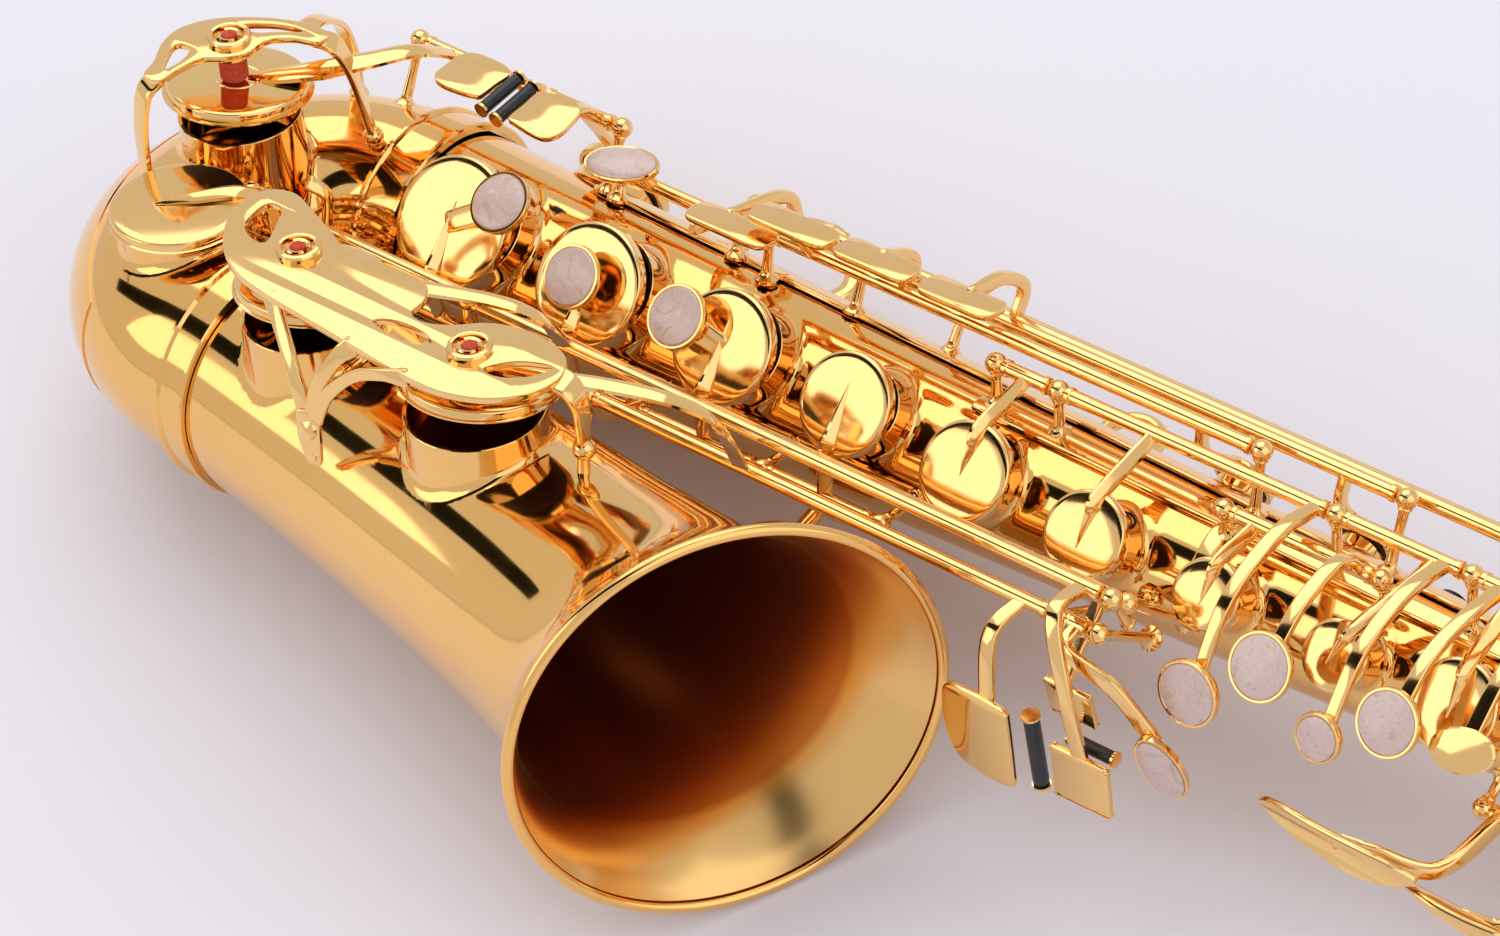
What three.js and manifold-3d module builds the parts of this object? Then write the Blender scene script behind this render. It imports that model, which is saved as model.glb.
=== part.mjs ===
// Alto saxophone lying on its left side, millimetres, Z up.
// Layout frame: X runs up the body tube from the bow to the neck, Z is the player's right side,
// -Y is the front (bell side).  The finished group is turned into its resting attitude at the end.
import * as THREE from "three";
import { mergeVertices } from "three/addons/utils/BufferGeometryUtils.js";
import Module from "manifold-3d";

const wasm = await Module();
wasm.setup();

// ---------- driving dimensions ----------
const WALL = 1.1; // tube wall
const GAP = 0.3; // clearance between pieces that touch
const FINE = 0.3; // facets smaller than this are merged
const BODY_R0 = 28.3; // outer radius of the body tube at X = 0
const BODY_SLOPE = 0.0297; // loss of radius per mm towards the neck
const BODY_X0 = -4;
const BODY_X1 = 512; // mouth of the neck receiver
const BOW_R = 40; // radius of the bow's centre line
const BOW_X = -11.5; // where both legs of the bow start to bend
const BOW_R0 = 28.6; // tube radius at the body end of the bow
const BOW_R1 = 33.4; // tube radius at the bell end of the bow
const RIM = { x: 201.7, y: -115, z: -6.8, r: 61.5, tilt: 28.9 }; // bell rim
const BELL0 = { x: 7.3, y: -81, z: 0, tilt: 8 }; // bell tube at the bow ring
const ROD_R = 2.1; // hinge tubes
const BALL_R = 3; // heads of the hinge posts
const REST_ROLL = -13.106; // turn about X that brings the left side down on the floor, degrees
const REST_PITCH = -2.704; // turn about Y that does the same, degrees
const SHIFT = [-260.31, -28.86, 32.09]; // brings the middle of the resting object over the origin

const rad = (d) => (d * Math.PI) / 180;
const V = (a) => new THREE.Vector3(...a);
const bodyR = (x) => BODY_R0 - BODY_SLOPE * x;
// A point around the body tube: phi is measured from +Z towards the bell (-Y).
const at = (x, phi, rho) => [x, -rho * Math.sin(rad(phi)), rho * Math.cos(rad(phi))];
const lerp = (a, b, t) => a + (b - a) * t;

// ---------- solids ----------
function solid(geometry) {
  const bare = geometry.clone();
  bare.deleteAttribute("normal");
  bare.deleteAttribute("uv");
  const g = mergeVertices(bare, 1e-4);
  return new wasm.Manifold(
    new wasm.Mesh({
      numProp: 3,
      vertProperties: g.attributes.position.array,
      triVerts: new Uint32Array(g.index.array),
    }),
  );
}

const join = (parts) => parts.reduce((a, b) => a.add(b));
const cut = (a, parts) => parts.reduce((s, b) => s.subtract(b), a);

// Turns a geometry built along +Y so that it points along dir, with its middle at centre.
function aim(geometry, centre, dir) {
  const q = new THREE.Quaternion().setFromUnitVectors(new THREE.Vector3(0, 1, 0), V(dir).normalize());
  geometry.applyQuaternion(q).translate(...centre);
  return solid(geometry);
}

function rod(a, b, r0, r1 = r0, n = 8) {
  const d = V(b).sub(V(a));
  const mid = V(a).addScaledVector(d, 0.5).toArray();
  return aim(new THREE.CylinderGeometry(r1, r0, d.length(), n), mid, d.toArray());
}

// A bent bar through several points, its radius running from r0 to r1.
function bar(points, r0, r1 = r0, n = 4) {
  const out = [];
  const last = points.length - 1;
  for (let i = 0; i < last; i++) {
    const a = V(points[i]);
    const b = V(points[i + 1]);
    const d = b.clone().sub(a).normalize();
    const ra = lerp(r0, r1, i / last);
    const rb = lerp(r0, r1, (i + 1) / last);
    const start = i ? a.addScaledVector(d, -ra * 0.6) : a;
    const end = i < last - 1 ? b.addScaledVector(d, rb * 0.6) : b;
    out.push(rod(start.toArray(), end.toArray(), ra, rb, n));
  }
  return join(out);
}

// The turned head of a post, its length along the hinge line.
const ball = (c, r = BALL_R) =>
  rod([c[0] - 0.84 * r, c[1], c[2]], [c[0] + 0.84 * r, c[1], c[2]], r, r, 6);

// An elliptical plate: half sizes a along `along`, b across it, thickness h, facing `normal`.
function plate(centre, normal, along, a, b, h, n = 14) {
  const y = V(normal).normalize();
  const x = V(along);
  x.addScaledVector(y, -x.dot(y)).normalize();
  const z = x.clone().cross(y);
  const g = new THREE.CylinderGeometry(1, 1, h, n);
  g.scale(a, 1, b);
  g.applyMatrix4(new THREE.Matrix4().makeBasis(x, y, z).setPosition(...centre));
  return solid(g);
}

function box(centre, normal, along, a, b, h) {
  const y = V(normal).normalize();
  const x = V(along);
  x.addScaledVector(y, -x.dot(y)).normalize();
  const z = x.clone().cross(y);
  const g = new THREE.BoxGeometry(2 * a, h, 2 * b);
  g.applyMatrix4(new THREE.Matrix4().makeBasis(x, y, z).setPosition(...centre));
  return solid(g);
}

// A tube skin through circular sections { c, tilt, r, dir }: dir turns the section from +X.
function loft(sections, n) {
  const position = [];
  const index = [];
  sections.forEach((s) => {
    const t = rad(s.tilt);
    for (let k = 0; k < n; k++) {
      const a = (2 * Math.PI * k) / n;
      const side = Math.cos(a) * s.r;
      position.push(s.c[0] + side * Math.sin(t), s.c[1] + side * Math.cos(t), s.c[2] + Math.sin(a) * s.r);
    }
  });
  const rows = sections.length;
  for (let i = 0; i < rows - 1; i++)
    for (let k = 0; k < n; k++) {
      const a = i * n + k;
      const b = i * n + ((k + 1) % n);
      index.push(a, b, a + n, b, b + n, a + n);
    }
  const first = position.length / 3;
  position.push(...sections[0].c, ...sections[rows - 1].c);
  for (let k = 0; k < n; k++) {
    const next = (k + 1) % n;
    index.push(first, next, k);
    index.push(first + 1, (rows - 1) * n + k, (rows - 1) * n + next);
  }
  const g = new THREE.BufferGeometry();
  g.setAttribute("position", new THREE.Float32BufferAttribute(position, 3));
  g.setIndex(index);
  const s = solid(g);
  if (s.volume() > 0) return s;
  g.setIndex(index.map((_, i) => index[i - (i % 3) + (2 - (i % 3))]));
  return solid(g);
}

const cone = (x0, x1, r0, r1, n = 16) =>
  rod([x0, 0, 0], [x1, 0, 0], r0, r1, n);

// ---------- tone holes and pad cups ----------
// Every tone hole: the foot of its chimney, the way it faces, the radius of the cup over it,
// the height of the chimney's mouth above that foot, and how far the pad stands open at rest.
const hole = (x, phi, cup, lift, open) => ({
  foot: at(x, phi, 0),
  dir: at(0, phi, 1),
  cup,
  top: bodyR(x) + lift,
  open,
});
const HOLES = {
  low_eb: hole(38, -72, 15, 4.5, 0),
  d: hole(32, 41, 18.9, 8, 5),
  e: hole(81, 41.5, 17.4, 8, 4.6),
  f: hole(128, 42, 15.9, 8, 4.2),
  fsharp: hole(170, 43, 14.3, 8, 4),
  gsharp: hole(209, 50, 13.8, 8, 0),
  g: hole(251, 56, 12.2, 8, 3.6),
  a: hole(290, 58, 10, 8, 3.4),
  bis: hole(330, 58, 9.5, 8, 3.2),
  b: hole(365, 57, 12.5, 7, 3.2),
  c: hole(395, 40, 8.5, 7, 3),
  side_bb: hole(262, -68, 9, 4.5, 0),
  side_c: hole(302, -70, 8.5, 4.5, 0),
  high_e: hole(362, -75, 7.5, 4.5, 0),
  high_fsharp: hole(392, -80, 7, 4.5, 0),
  palm_d: hole(407, 151, 7.8, 4.8, 0),
  palm_eb: hole(436, 172, 7.5, 4.5, 0),
  palm_f: hole(465, 192, 6.6, 4.5, 0),
  octave_vent: hole(394, -150, 4.6, 4.5, 0),
};
const UP = [0, 0, 1];
HOLES.low_c = { foot: [-42, -36, 0], dir: UP, cup: 20, top: 43, open: 6 };
HOLES.low_csharp = { foot: [-27, -76, 0], dir: UP, cup: 19.5, top: 36.6, open: 0 };
HOLES.low_b = { foot: [38, -92, 0], dir: UP, cup: 21, top: 40.5, open: 6 };
HOLES.low_bb = { foot: [105, -99, 0], dir: UP, cup: 21.5, top: 42.5, open: 6 };

const along = (h, d) => V(h.foot).addScaledVector(V(h.dir), d).toArray();

const facets = (h) => (h.cup > 12 ? 12 : 8);

function chimney(h, from, n = facets(h)) {
  const r = h.cup - 2.4;
  return rod(along(h, from), along(h, h.top), r, r, n);
}

function chimneyBore(h, from, n = facets(h) - 2) {
  const r = h.cup - 2.4 - WALL;
  return rod(along(h, from), along(h, h.top + 2), r, r, n);
}

// Pad cup closed on its chimney: flat pad face, short wall, shallow domed back.
function cup(h, n = facets(h) + 2) {
  const p = [
    [0, 0],
    [h.cup, 0],
    [h.cup, 3.2],
    [0, 4.6],
  ];
  const g = new THREE.LatheGeometry(
    p.map(([x, y]) => new THREE.Vector2(x, y)),
    n,
  );
  return aim(g, along(h, h.top + GAP), h.dir);
}
const cupTop = (h) => along(h, h.top + GAP + 4);

// ---------- the tube ----------
function bodyTube() {
  const inBody = Object.entries(HOLES).filter(([, h]) => !h.foot[1] && !h.foot[2]);
  const outer = [
    cone(BODY_X0, 486, bodyR(BODY_X0), bodyR(486)),
    cone(484, BODY_X1, 15.8, 15.8, 24),
    cone(478, 484.5, bodyR(478), 15.8, 24),
    box([498, 18, 0], [1, 0, 0], [0, 1, 0], 5.5, 4, 14), // split lugs of the receiver clamp
    ...inBody.map(([, h]) => chimney(h, 5)),
    ...SINGLE_POSTS.map(([x, l]) => post(at(x, angleOf(l), bodyR(x) - 0.6), [x, ...l])),
  ];
  const inner = [
    cone(BODY_X0 - 1, 487, bodyR(BODY_X0) - WALL, bodyR(487) - WALL),
    cone(486, BODY_X1 + 1, 13.6, 13.6, 24),
    box([505, 19, 0], [1, 0, 0], [0, 1, 0], 9, 0.7, 36),
    rod([498, 20, -9], [498, 20, 9], 2.3, 2.3, 10),
    ...inBody.map(([, h]) => chimneyBore(h, 5)),
  ];
  return cut(join(outer), inner);
}

const bowPath = (t, grow = 0) => {
  const a = Math.PI * t;
  return {
    c: [BOW_X - BOW_R * Math.sin(a), -BOW_R + BOW_R * Math.cos(a), 0],
    tilt: -180 * t,
    r: lerp(BOW_R0, BOW_R1, t) + grow,
  };
};

function bowSkin(grow, over) {
  const steps = 8;
  const sections = [{ c: [-6 + over, 0, 0], tilt: 0, r: BOW_R0 + grow }];
  for (let i = 0; i <= steps; i++) sections.push(bowPath(i / steps, grow));
  sections.push({ c: [3.2 + over, -80.6, 0], tilt: -177, r: BOW_R1 + grow });
  return loft(sections, 20);
}

function bow() {
  const holes = [HOLES.low_c, HOLES.low_csharp];
  const posts = [
    post([-20, -47, 4], [-20, ...L3]),
    post([-24, -52, 14], [-24, ...CS]),
    post([-4, -54, 10], [-4, ...CS]),
    post(at(-25, -24, 25), [-25, ...L5]),
  ];
  const outer = join([bowSkin(0, 0), ...holes.map((h) => chimney(h, 12)), ...posts]);
  return cut(outer, [bowSkin(-WALL, 2), ...holes.map((h) => chimneyBore(h, 12))]);
}

// Bell: radius against the share of the way from the bow ring to the rim.
const BELL = [
  [0, 33.6], [0.4, 36.3], [0.62, 38.6], [0.78, 42], [0.87, 45.8], [0.93, 50.6], [0.97, 56], [1, RIM.r - 1],
];
function bellSkin(grow, from, to) {
  const sections = BELL.map(([t, r]) => {
    const s = t < 0.5 ? 0 : ((t - 0.5) / 0.5) ** 1.6;
    const bend = 7 * t * (1 - t);
    return {
      c: [lerp(BELL0.x, RIM.x, t), lerp(BELL0.y, RIM.y, t) + bend, lerp(BELL0.z, RIM.z, t)],
      tilt: lerp(BELL0.tilt + 2 * t, RIM.tilt, s),
      r: r + grow,
    };
  });
  const step = (s, d, r) => ({
    c: [s.c[0] + d * Math.cos(rad(s.tilt)), s.c[1] - d * Math.sin(rad(s.tilt)), s.c[2]],
    tilt: s.tilt,
    r,
  });
  if (from) sections.unshift(step(sections[0], -from, sections[0].r));
  if (to) sections.push(step(sections[sections.length - 1], to, sections[sections.length - 1].r + to));
  return loft(sections, 24);
}

function bell() {
  const holes = [HOLES.low_b, HOLES.low_bb];
  const bead = new THREE.TorusGeometry(RIM.r - 1.6, 1.7, 5, 24);
  bead.rotateY(Math.PI / 2).rotateZ(-rad(RIM.tilt)).translate(RIM.x - 0.6, RIM.y + 0.4, RIM.z);
  const outer = join([bellSkin(0, 0, 0), ...holes.map((h) => chimney(h, 20))]);
  const shell = cut(outer, [bellSkin(-WALL, 2, 2), ...holes.map((h) => chimneyBore(h, 20))]);
  return shell.add(solid(bead));
}

function ring(centre, tilt, inner, outer, length, n = 22) {
  const d = [Math.cos(rad(tilt)), -Math.sin(rad(tilt)), 0];
  const end = (s) => V(centre).addScaledVector(V(d), s * length).toArray();
  const bead = (s) => rod(end(s - 0.09), end(s + 0.09), outer + 0.9, outer + 0.9, n);
  return cut(join([rod(end(-0.5), end(0.5), outer, outer, n), bead(-0.36)]), [
    rod(end(-0.7), end(0.7), inner, inner, n),
  ]);
}

function bodyBowRing() {
  const sleeve = ring([-3.5, 0, 0], 0, BOW_R0 + 0.5, BOW_R0 + 2.2, 15);
  const lugs = box([-3.5, ...at(0, 76, 33).slice(1)], at(0, 76, 1), [1, 0, 0], 6, 3.4, 6);
  return cut(join([sleeve, lugs]), [
    box([-3.5, ...at(0, 76, 33).slice(1)], at(0, 76, 1), [1, 0, 0], 12, 0.5, 9),
    rod([-20, 0, 0], [12, 0, 0], BOW_R0 + 0.5, BOW_R0 + 0.5, 22),
  ]);
}

function bellBrace() {
  const a = [158, -21, -16];
  const b = [158, -75, -20];
  const loop = new THREE.TorusGeometry(13, 2.4, 5, 14);
  loop.translate(158, -48, -17);
  const hold = (c, n) => plate(c, n, [1, 0, 0], 11, 6.5, 2, 12);
  const brace = join([
    solid(loop),
    rod([158, -26.5, -13.5], [158, -36, -15.5], 2.4),
    rod([158, -60, -18.5], [158, -66.6, -19.5], 2.4),
    hold([158, -25.2, -12.8], [0, -0.9, -0.44]),
    hold([158, -67.4, -19.6], [0, 0.9, -0.4]),
  ]);
  return offTube(brace).subtract(bellSkin(GAP + 0.2, 3, 0));
}

// ---------- hinge lines, each parallel to the body tube: [y, z] ----------
const line = (phi, rho) => at(0, phi, rho).slice(1);
const A1 = [-39, 4]; // right-hand stack
const A3 = line(-2, 36); // left-hand stack
const A3B = line(13, 30); // second rod under it
const L1 = [-51, 28]; // low B
const L2 = [-57, 20.5]; // low B flat, then the G sharp lever
const L3 = [-45, 22.5]; // low C sharp lever
const CS = [-52, 32]; // low C sharp key on the bow
const L5 = [20, 42]; // low C and E flat
const S0 = line(-21.5, 35.5); // alternate F sharp
const S1 = line(-12, 40); // side B flat
const S2 = line(-24, 40); // side C
const S3 = line(-35, 39.5); // high E
const S4 = line(-46, 39.5); // high F sharp
const PD = line(118, 27);
const PE = line(140, 27);
const PF = line(160, 26);
const OV = line(-135, 27); // octave lever
const OB = line(-174, 24); // octave vent key

// Posts soldered singly to the tube for the palm and octave keys.
const SINGLE_POSTS = [
  [373, PD], [419, PD], [417, PE], [449, PE], [447, PF], [475, PF], [349, OV], [478, OV], [375, OB], [403, OB],
];

// A hinge post: a stem from the tube and a ball head on the hinge line.
function post(foot, head, r = 1.6) {
  return join([rod(foot, head, r + 0.5, r, 4), ball(head)]);
}
const radialPost = (x, [y, z], lift = 1.2) => {
  const d = Math.hypot(y, z);
  const k = (bodyR(x) + lift) / d;
  return post([x, y * k, z * k], [x, y, z]);
};

// A rib soldered along the tube, from x0 to x1 at the angle phi.
function rib(x0, x1, phi, half = 3) {
  const mid = (x0 + x1) / 2;
  const n = V(at(0, phi, 1));
  n.x = BODY_SLOPE;
  const d = new THREE.Vector3(0, n.z, -n.y).cross(n);
  return box(at(mid, phi, bodyR(mid) + GAP + 0.8), n.toArray(), d.toArray(), (x1 - x0) / 2, half, 1.6);
}

// A foot that follows the tube from the rib round to a post.
function strap(x, phi0, phi1) {
  const steps = Math.ceil(Math.abs(phi1 - phi0) / 14);
  const points = [];
  for (let i = 0; i <= steps; i++) points.push(at(x, lerp(phi0, phi1, i / steps), bodyR(x) + 2.3));
  return bar(points, 1.7, 1.7, 4);
}
const angleOf = ([y, z]) => (Math.atan2(-y, z) * 180) / Math.PI;

// Parts of a rib that hugs the tube are cleared from the tube by the gap.
const clearBody = cone(BODY_X0, 486, bodyR(BODY_X0) + GAP, bodyR(486) + GAP);
const offTube = (s) => s.subtract(clearBody);

function rhPostRib() {
  const posts = [8, 57, 105, 149, 190].map((x) => radialPost(x, A1));
  return join([
    rib(4, 194, 84, 3.2),
    ...posts,
    bar([[57, -38, 5], [57, -50, 13], [57, -56, 22], [57, ...L1]], 1.8, 1.5),
    ball([57, ...L1]),
    bar([[105, -38, 5], [105, -46, 8], [105, -54, 12], [105, ...L2]], 1.8, 1.5),
    ball([105, ...L2]),
  ]);
}

function lhPostRib() {
  const upper = [199, 220, 310, 352, 375.5, 405.5].map((x) => radialPost(x, A3));
  const under = [280, 329.6, 371.2, 387].map((x) => radialPost(x, A3B));
  const feet = [199, 310, 352].map((x) => strap(x, 4, -2));
  const table = [
    strap(278, 4, 88),
    bar([at(278, 88, bodyR(278) + 0.6), [278, -38, 6], [278, ...L3]], 1.8, 1.5),
    bar([[278, -38, 6], [278, ...L2]], 1.8, 1.5),
    bar([[278, -45, 14], [278, ...L1]], 1.6, 1.4),
    ball([278, ...L1]),
    ball([278, ...L2]),
    ball([278, ...L3]),
    bar([at(265.5, 84, bodyR(265) + 0.6), [265.5, -40, 8], [265.5, ...L2]], 1.6, 1.4),
    ball([265.5, ...L2]),
    rod(at(264, 86, bodyR(264) + 1.5), at(279, 86, bodyR(279) + 1.5), 1.7, 1.7, 4),
  ];
  return join([rib(195, 410, 5, 3), ...upper, ...under, ...feet, ...table]);
}

function sidePostRib() {
  const lines = [
    [57, S0], [100.4, S0], [115, S1], [281, S1], [142, S2], [321, S2],
    [172, S3], [381, S3], [92, S4], [411, S4], [51.5, L5],
  ];
  const posts = lines.map(([x, l]) => radialPost(x, l));
  const feet = lines.map(([x, l]) => strap(x, -28, angleOf(l)));
  return join([rib(48, 414, -28, 3.2), ...posts, ...feet]);
}

// ---------- keys ----------
const hinge = (l, x0, x1, r = ROD_R) => rod([x0, ...l], [x1, ...l], r, r, 6);
const motions = [];

// Builds a key closed on its hole, then swings it open about its hinge line by `open` mm at the pad.
function swing(s, l, hole) {
  const deg = openAngle(l, hole);
  if (!deg) return s;
  return s.translate([0, -l[0], -l[1]]).rotate([deg, 0, 0]).translate([0, ...l]);
}
function openSign(l, hole) {
  const c = cupTop(hole);
  const dy = c[1] - l[0];
  const dz = c[2] - l[1];
  return Math.sign(-dz * hole.dir[1] + dy * hole.dir[2]);
}
function leverArm(l, hole) {
  const c = along(hole, hole.top + GAP);
  const dy = c[1] - l[0];
  const dz = c[2] - l[1];
  return Math.abs(-dz * hole.dir[1] + dy * hole.dir[2]);
}
function openAngle(l, hole, travel = hole.open) {
  return (openSign(l, hole) * travel * 180) / Math.PI / leverArm(l, hole);
}

// Records how a key turns: keys open at rest close, closed keys open by `travel` mm at the pad.
function keyMotion(name, l, x, hole, travel = 3) {
  const full = openAngle(l, hole, hole.open || travel);
  motions.push({ name, at: [x, ...l], axis: [1, 0, 0], turn: hole.open ? -full : full });
}

const PEARL_H = 1.8;
// A touch: a shallow dish that carries a pearl, its face at `c`.
const dish = (c, n, r, long = r) => plate(c, n, [1, 0, 0], long + 1.4, r + 1.4, 2.6, 12);
const pearlOn = (c, n, r, longer = r) =>
  plate(V(c).addScaledVector(V(n).normalize(), 1.3 + GAP + PEARL_H / 2).toArray(), n, [1, 0, 0], longer, r, PEARL_H, 12);

const keys = {};
const pearls = {};

function stackKey(name, l, x0, x1, arms, touch, armX) {
  const h = HOLES[name];
  const x = h.foot[0];
  const t = at(0, 90 + (Math.atan2(-h.dir[1], h.dir[2]) * 180) / Math.PI, 1);
  const toward = -Math.sign((l[0] - cupTop(h)[1]) * -t[1] + (l[1] - cupTop(h)[2]) * -t[2]) || 1;
  const rimTo = V(along(h, h.top + 1.8)).addScaledVector(V(t), -toward * -h.cup * 0.96).toArray();
  const parts = [hinge(l, x0, x1), cup(h)];
  parts.push(bar([[armX ?? x, ...l], rimTo, cupTop(h)], 2.1, 1.5));
  arms.forEach((a) => parts.push(bar(a, 1.7, 1.5)));
  if (touch) parts.push(dish(touch.c, touch.n, touch.r));
  keys[name + "_key"] = swing(join(parts), l, h);
  if (touch) pearls[name + "_pearl"] = swing(pearlOn(touch.c, touch.n, touch.r), l, h);
  keyMotion(name + "_key", l, x, h);
}

// Right-hand stack: pearls sit on or beside the cups.
const RH = (x, phi, rho, r) => ({ c: at(x, phi, rho), n: at(0, phi, 1), r });
const tD = RH(50, 27, 45.5, 7.6);
const tE = RH(81, 40, 44.5, 7.6);
const tF = RH(116.5, 38, 43.2, 7.6);
stackKey("d", A1, 11, 54, [[cupTop(HOLES.d), at(50, 27, 44)]], tD);
stackKey("e", A1, 60, 102, [[cupTop(HOLES.e), at(81, 40, 44)]], tE);
stackKey("f", A1, 108, 146, [[cupTop(HOLES.f), at(117, 38, 42)]], tF);
stackKey("fsharp", A1, 152, 187, []);

// Left-hand stack: arms reach forward from the rods over the cups to the pearls.
const reach = (x, l, phi, rho, via = 46) => [
  [x, ...l],
  at(x, 24, via - 3),
  at(x, lerp(24, phi, 0.55), via + 1),
  at(x, phi, rho - 0.6),
];
const LH = (x, phi, rho, r) => ({ c: at(x, phi, rho), n: at(0, phi, 1), r });
stackKey("gsharp", A3, 202, 217, []);
stackKey("g", A3, 223, 307, [reach(304, A3, 84, 50)], LH(304, 84, 50, 7.8));
stackKey("a", A3B, 283, 327, [reach(323, A3B, 68, 50)], LH(323, 68, 50, 7.8));
stackKey("bis", A3, 313, 349, [reach(344, A3, 76, 50)], LH(343, 79, 49.5, 5.4), 341);
stackKey("b", A3, 355, 372.6, [reach(361, A3, 66, 49, 45)], LH(361, 66, 49, 7.6));
stackKey("c", A3, 378.5, 402.6, []);

// Low B and B flat: long rods from the left-hand table to the bell keys.
function bellKey(name, l, x0, x1, armX, arms, plates) {
  const h = HOLES[name];
  const c = cupTop(h);
  const parts = [hinge(l, x0, x1), cup(h, 18)];
  parts.push(bar([[armX, ...l], [armX - 8, l[0] - 10, c[2] - 1], [c[0], c[1], c[2] + 0.4]], 2.3, 1.8));
  arms.forEach((a) => parts.push(bar(a, 1.9, 1.9)));
  parts.push(...plates);
  keys[name + "_key"] = swing(join(parts), l, h);
  keyMotion(name + "_key", l, x0, h);
}
const TABLE_N = [0, -0.98, -0.2];
const slab = (x, y, z, a, b, h = 2) => box([x, y, z], TABLE_N, [1, 0, 0], a, b, h);
bellKey("low_b", L1, 60, 274.8, 84, [[[269, ...L1], [271, -66.8, 26], [279, -69.8, 6], [283, -66.5, -14]]], [
  slab(282.9, -65.5, -18, 9.1, 8.5),
]);
bellKey("low_bb", L2, 108.2, 262.4, 140, [[[254, ...L2], [252, -68, 14], [254, -70, -6]]], [
  slab(251, -69, -16, 11, 14),
]);

// Low C sharp: a lever from the table, and the key on the bow that it lifts.
const csLever = join([
  hinge(L3, -16.8, 274.8),
  bar([[270.6, ...L3], [270.8, -58, 10], [271.8, -65.6, 3.5]], 1.7, 1.6),
  slab(273.9, -64, 0.8, 7.4, 6),
  bar([[-3, ...L3], [-3, -43, 33], [-6, -46, 38.5]], 1.8, 1.5),
]);
keys.low_csharp_lever = csLever;
motions.push({ name: "low_csharp_lever", at: [270, ...L3], axis: [1, 0, 0], turn: 6 });
{
  const h = HOLES.low_csharp;
  const c = cupTop(h);
  keys.low_csharp_key = join([
    hinge(CS, -20.7, -7.3),
    cup(h, 18),
    bar([[-12, ...CS], [-16, -60, c[2] - 0.6], [c[0], c[1], c[2] + 0.3]], 2.2, 1.7),
  ]);
  keyMotion("low_csharp_key", CS, -10, h, 4);
}

// G sharp lever: oval touch beside the table.
const gsTouch = { c: [300, -60.5, -10], n: [0.25, -0.95, -0.2] };
keys.gsharp_lever = join([
  hinge(L2, 268.6, 274.8),
  bar([[271.7, ...L2], [273, -64.5, 17.5], [288, -64.5, 12], [299, -60, -3]], 1.6, 1.6),
  plate(gsTouch.c, gsTouch.n, [0.3, 0, -1], 11.4, 6.4, 2.4, 16),
]);
pearls.gsharp_pearl = plate(
  V(gsTouch.c).addScaledVector(V(gsTouch.n).normalize(), 1.2 + GAP + 0.9).toArray(),
  gsTouch.n, [0.3, 0, -1], 10.2, 5.2, PEARL_H, 16,
);
motions.push({ name: "gsharp_lever", at: [272, ...L2], axis: [1, 0, 0], turn: 5 });

// Low C and E flat: right little finger.
{
  const h = HOLES.low_c;
  const c = cupTop(h);
  keys.low_c_key = swing(
    join([
      hinge(L5, -21.4, 21.5),
      cup(h, 18),
      bar([[-16, ...L5], [-20, 2, 50], [c[0], c[1], c[2] + 0.6]], 2.6, 1.9),
      bar([[12, ...L5], [12, 14, 48], [12, 8, 51]], 2, 1.8),
      box([12, 2, 51.6], [0, -0.12, 1], [1, 0, 0], 9, 8.5, 2),
    ]),
    L5, h,
  );
  keyMotion("low_c_key", L5, 0, h);
}
{
  const h = HOLES.low_eb;
  keys.low_eb_key = join([
    hinge(L5, 24.2, 48),
    cup(h),
    bar([[38, ...L5], at(38, -40, 44), cupTop(h)], 2.1, 1.7),
    bar([[42, ...L5], [42, 14, 48], [41, 8, 51]], 2, 1.8),
    box([40.6, 2, 51.6], [0, -0.12, 1], [1, 0, 0], 8.6, 8.5, 2),
  ]);
  keyMotion("low_eb_key", L5, 36, h, 4);
}
// Rollers turn freely between the paired touches.
const rollers = {
  c_roller: rod([23.7, -5.4, 51.9], [23.7, 9.2, 53.6], 1.9, 1.9, 12),
  eb_roller: rod([28.9, -5.4, 50.7], [28.9, 9.2, 52.4], 1.9, 1.9, 12),
  bb_roller: rod([265.2, -69.8, -4.6], [265.2, -67.2, -28], 2.2, 2.2, 12),
  b_roller: rod([276.5, -67, -8.2], [289.4, -67, -8.2], 1.9, 1.9, 12),
};

// Alternate F sharp: oval pearl touch on its own short rod.
keys.alt_fsharp_key = join([
  hinge(S0, 60, 97.4),
  bar([[68, ...S0], [68, 8, 42], [68, 4, 45]], 1.8, 1.6),
  plate([68, 2, 46], [-0.1, -0.25, 1], [1, 0.2, 0], 12, 6.6, 2.4, 16),
  bar([[94, ...S0], [96, 3, 37], [97, -3, 40]], 1.6, 1.3),
]);
motions.push({ name: "alt_fsharp_key", at: [70, ...S0], axis: [1, 0, 0], turn: 5 });

// Side keys: a flat touch near the right hand, a long rod, and a cup on the back of the tube.
function sideKey(name, l, x0, x1, touchX, touchPath, touch, armPath, travel) {
  const h = HOLES[name];
  keys[name + "_key"] = join([
    hinge(l, x0, x1),
    cup(h, 10),
    bar([[h.foot[0], ...l], ...armPath, cupTop(h)], 1.9, 1.5),
    bar([[touchX, ...l], ...touchPath], 1.8, 1.6),
    plate(touch.c, touch.n, [1, 0, 0], touch.a, touch.b, 2, 14),
  ]);
  keyMotion(name + "_key", l, (x0 + x1) / 2, h, travel);
}
const flat = (x, y, z, a, b = 5) => ({ c: [x, y, z], n: [0, -0.1, 1], a, b });
sideKey("high_fsharp", S4, 94.9, 408, 107, [[107, 24, 39], [107, 1, 46]], flat(112, -3, 47, 14.5), [], 2.6);
sideKey("side_bb", S1, 118, 278, 130, [[130, 3, 51]], flat(130, 2, 51.4, 14), [
  [262, 8.5, 29.6], at(262, -46, 27.6),
], 2.6);
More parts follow.
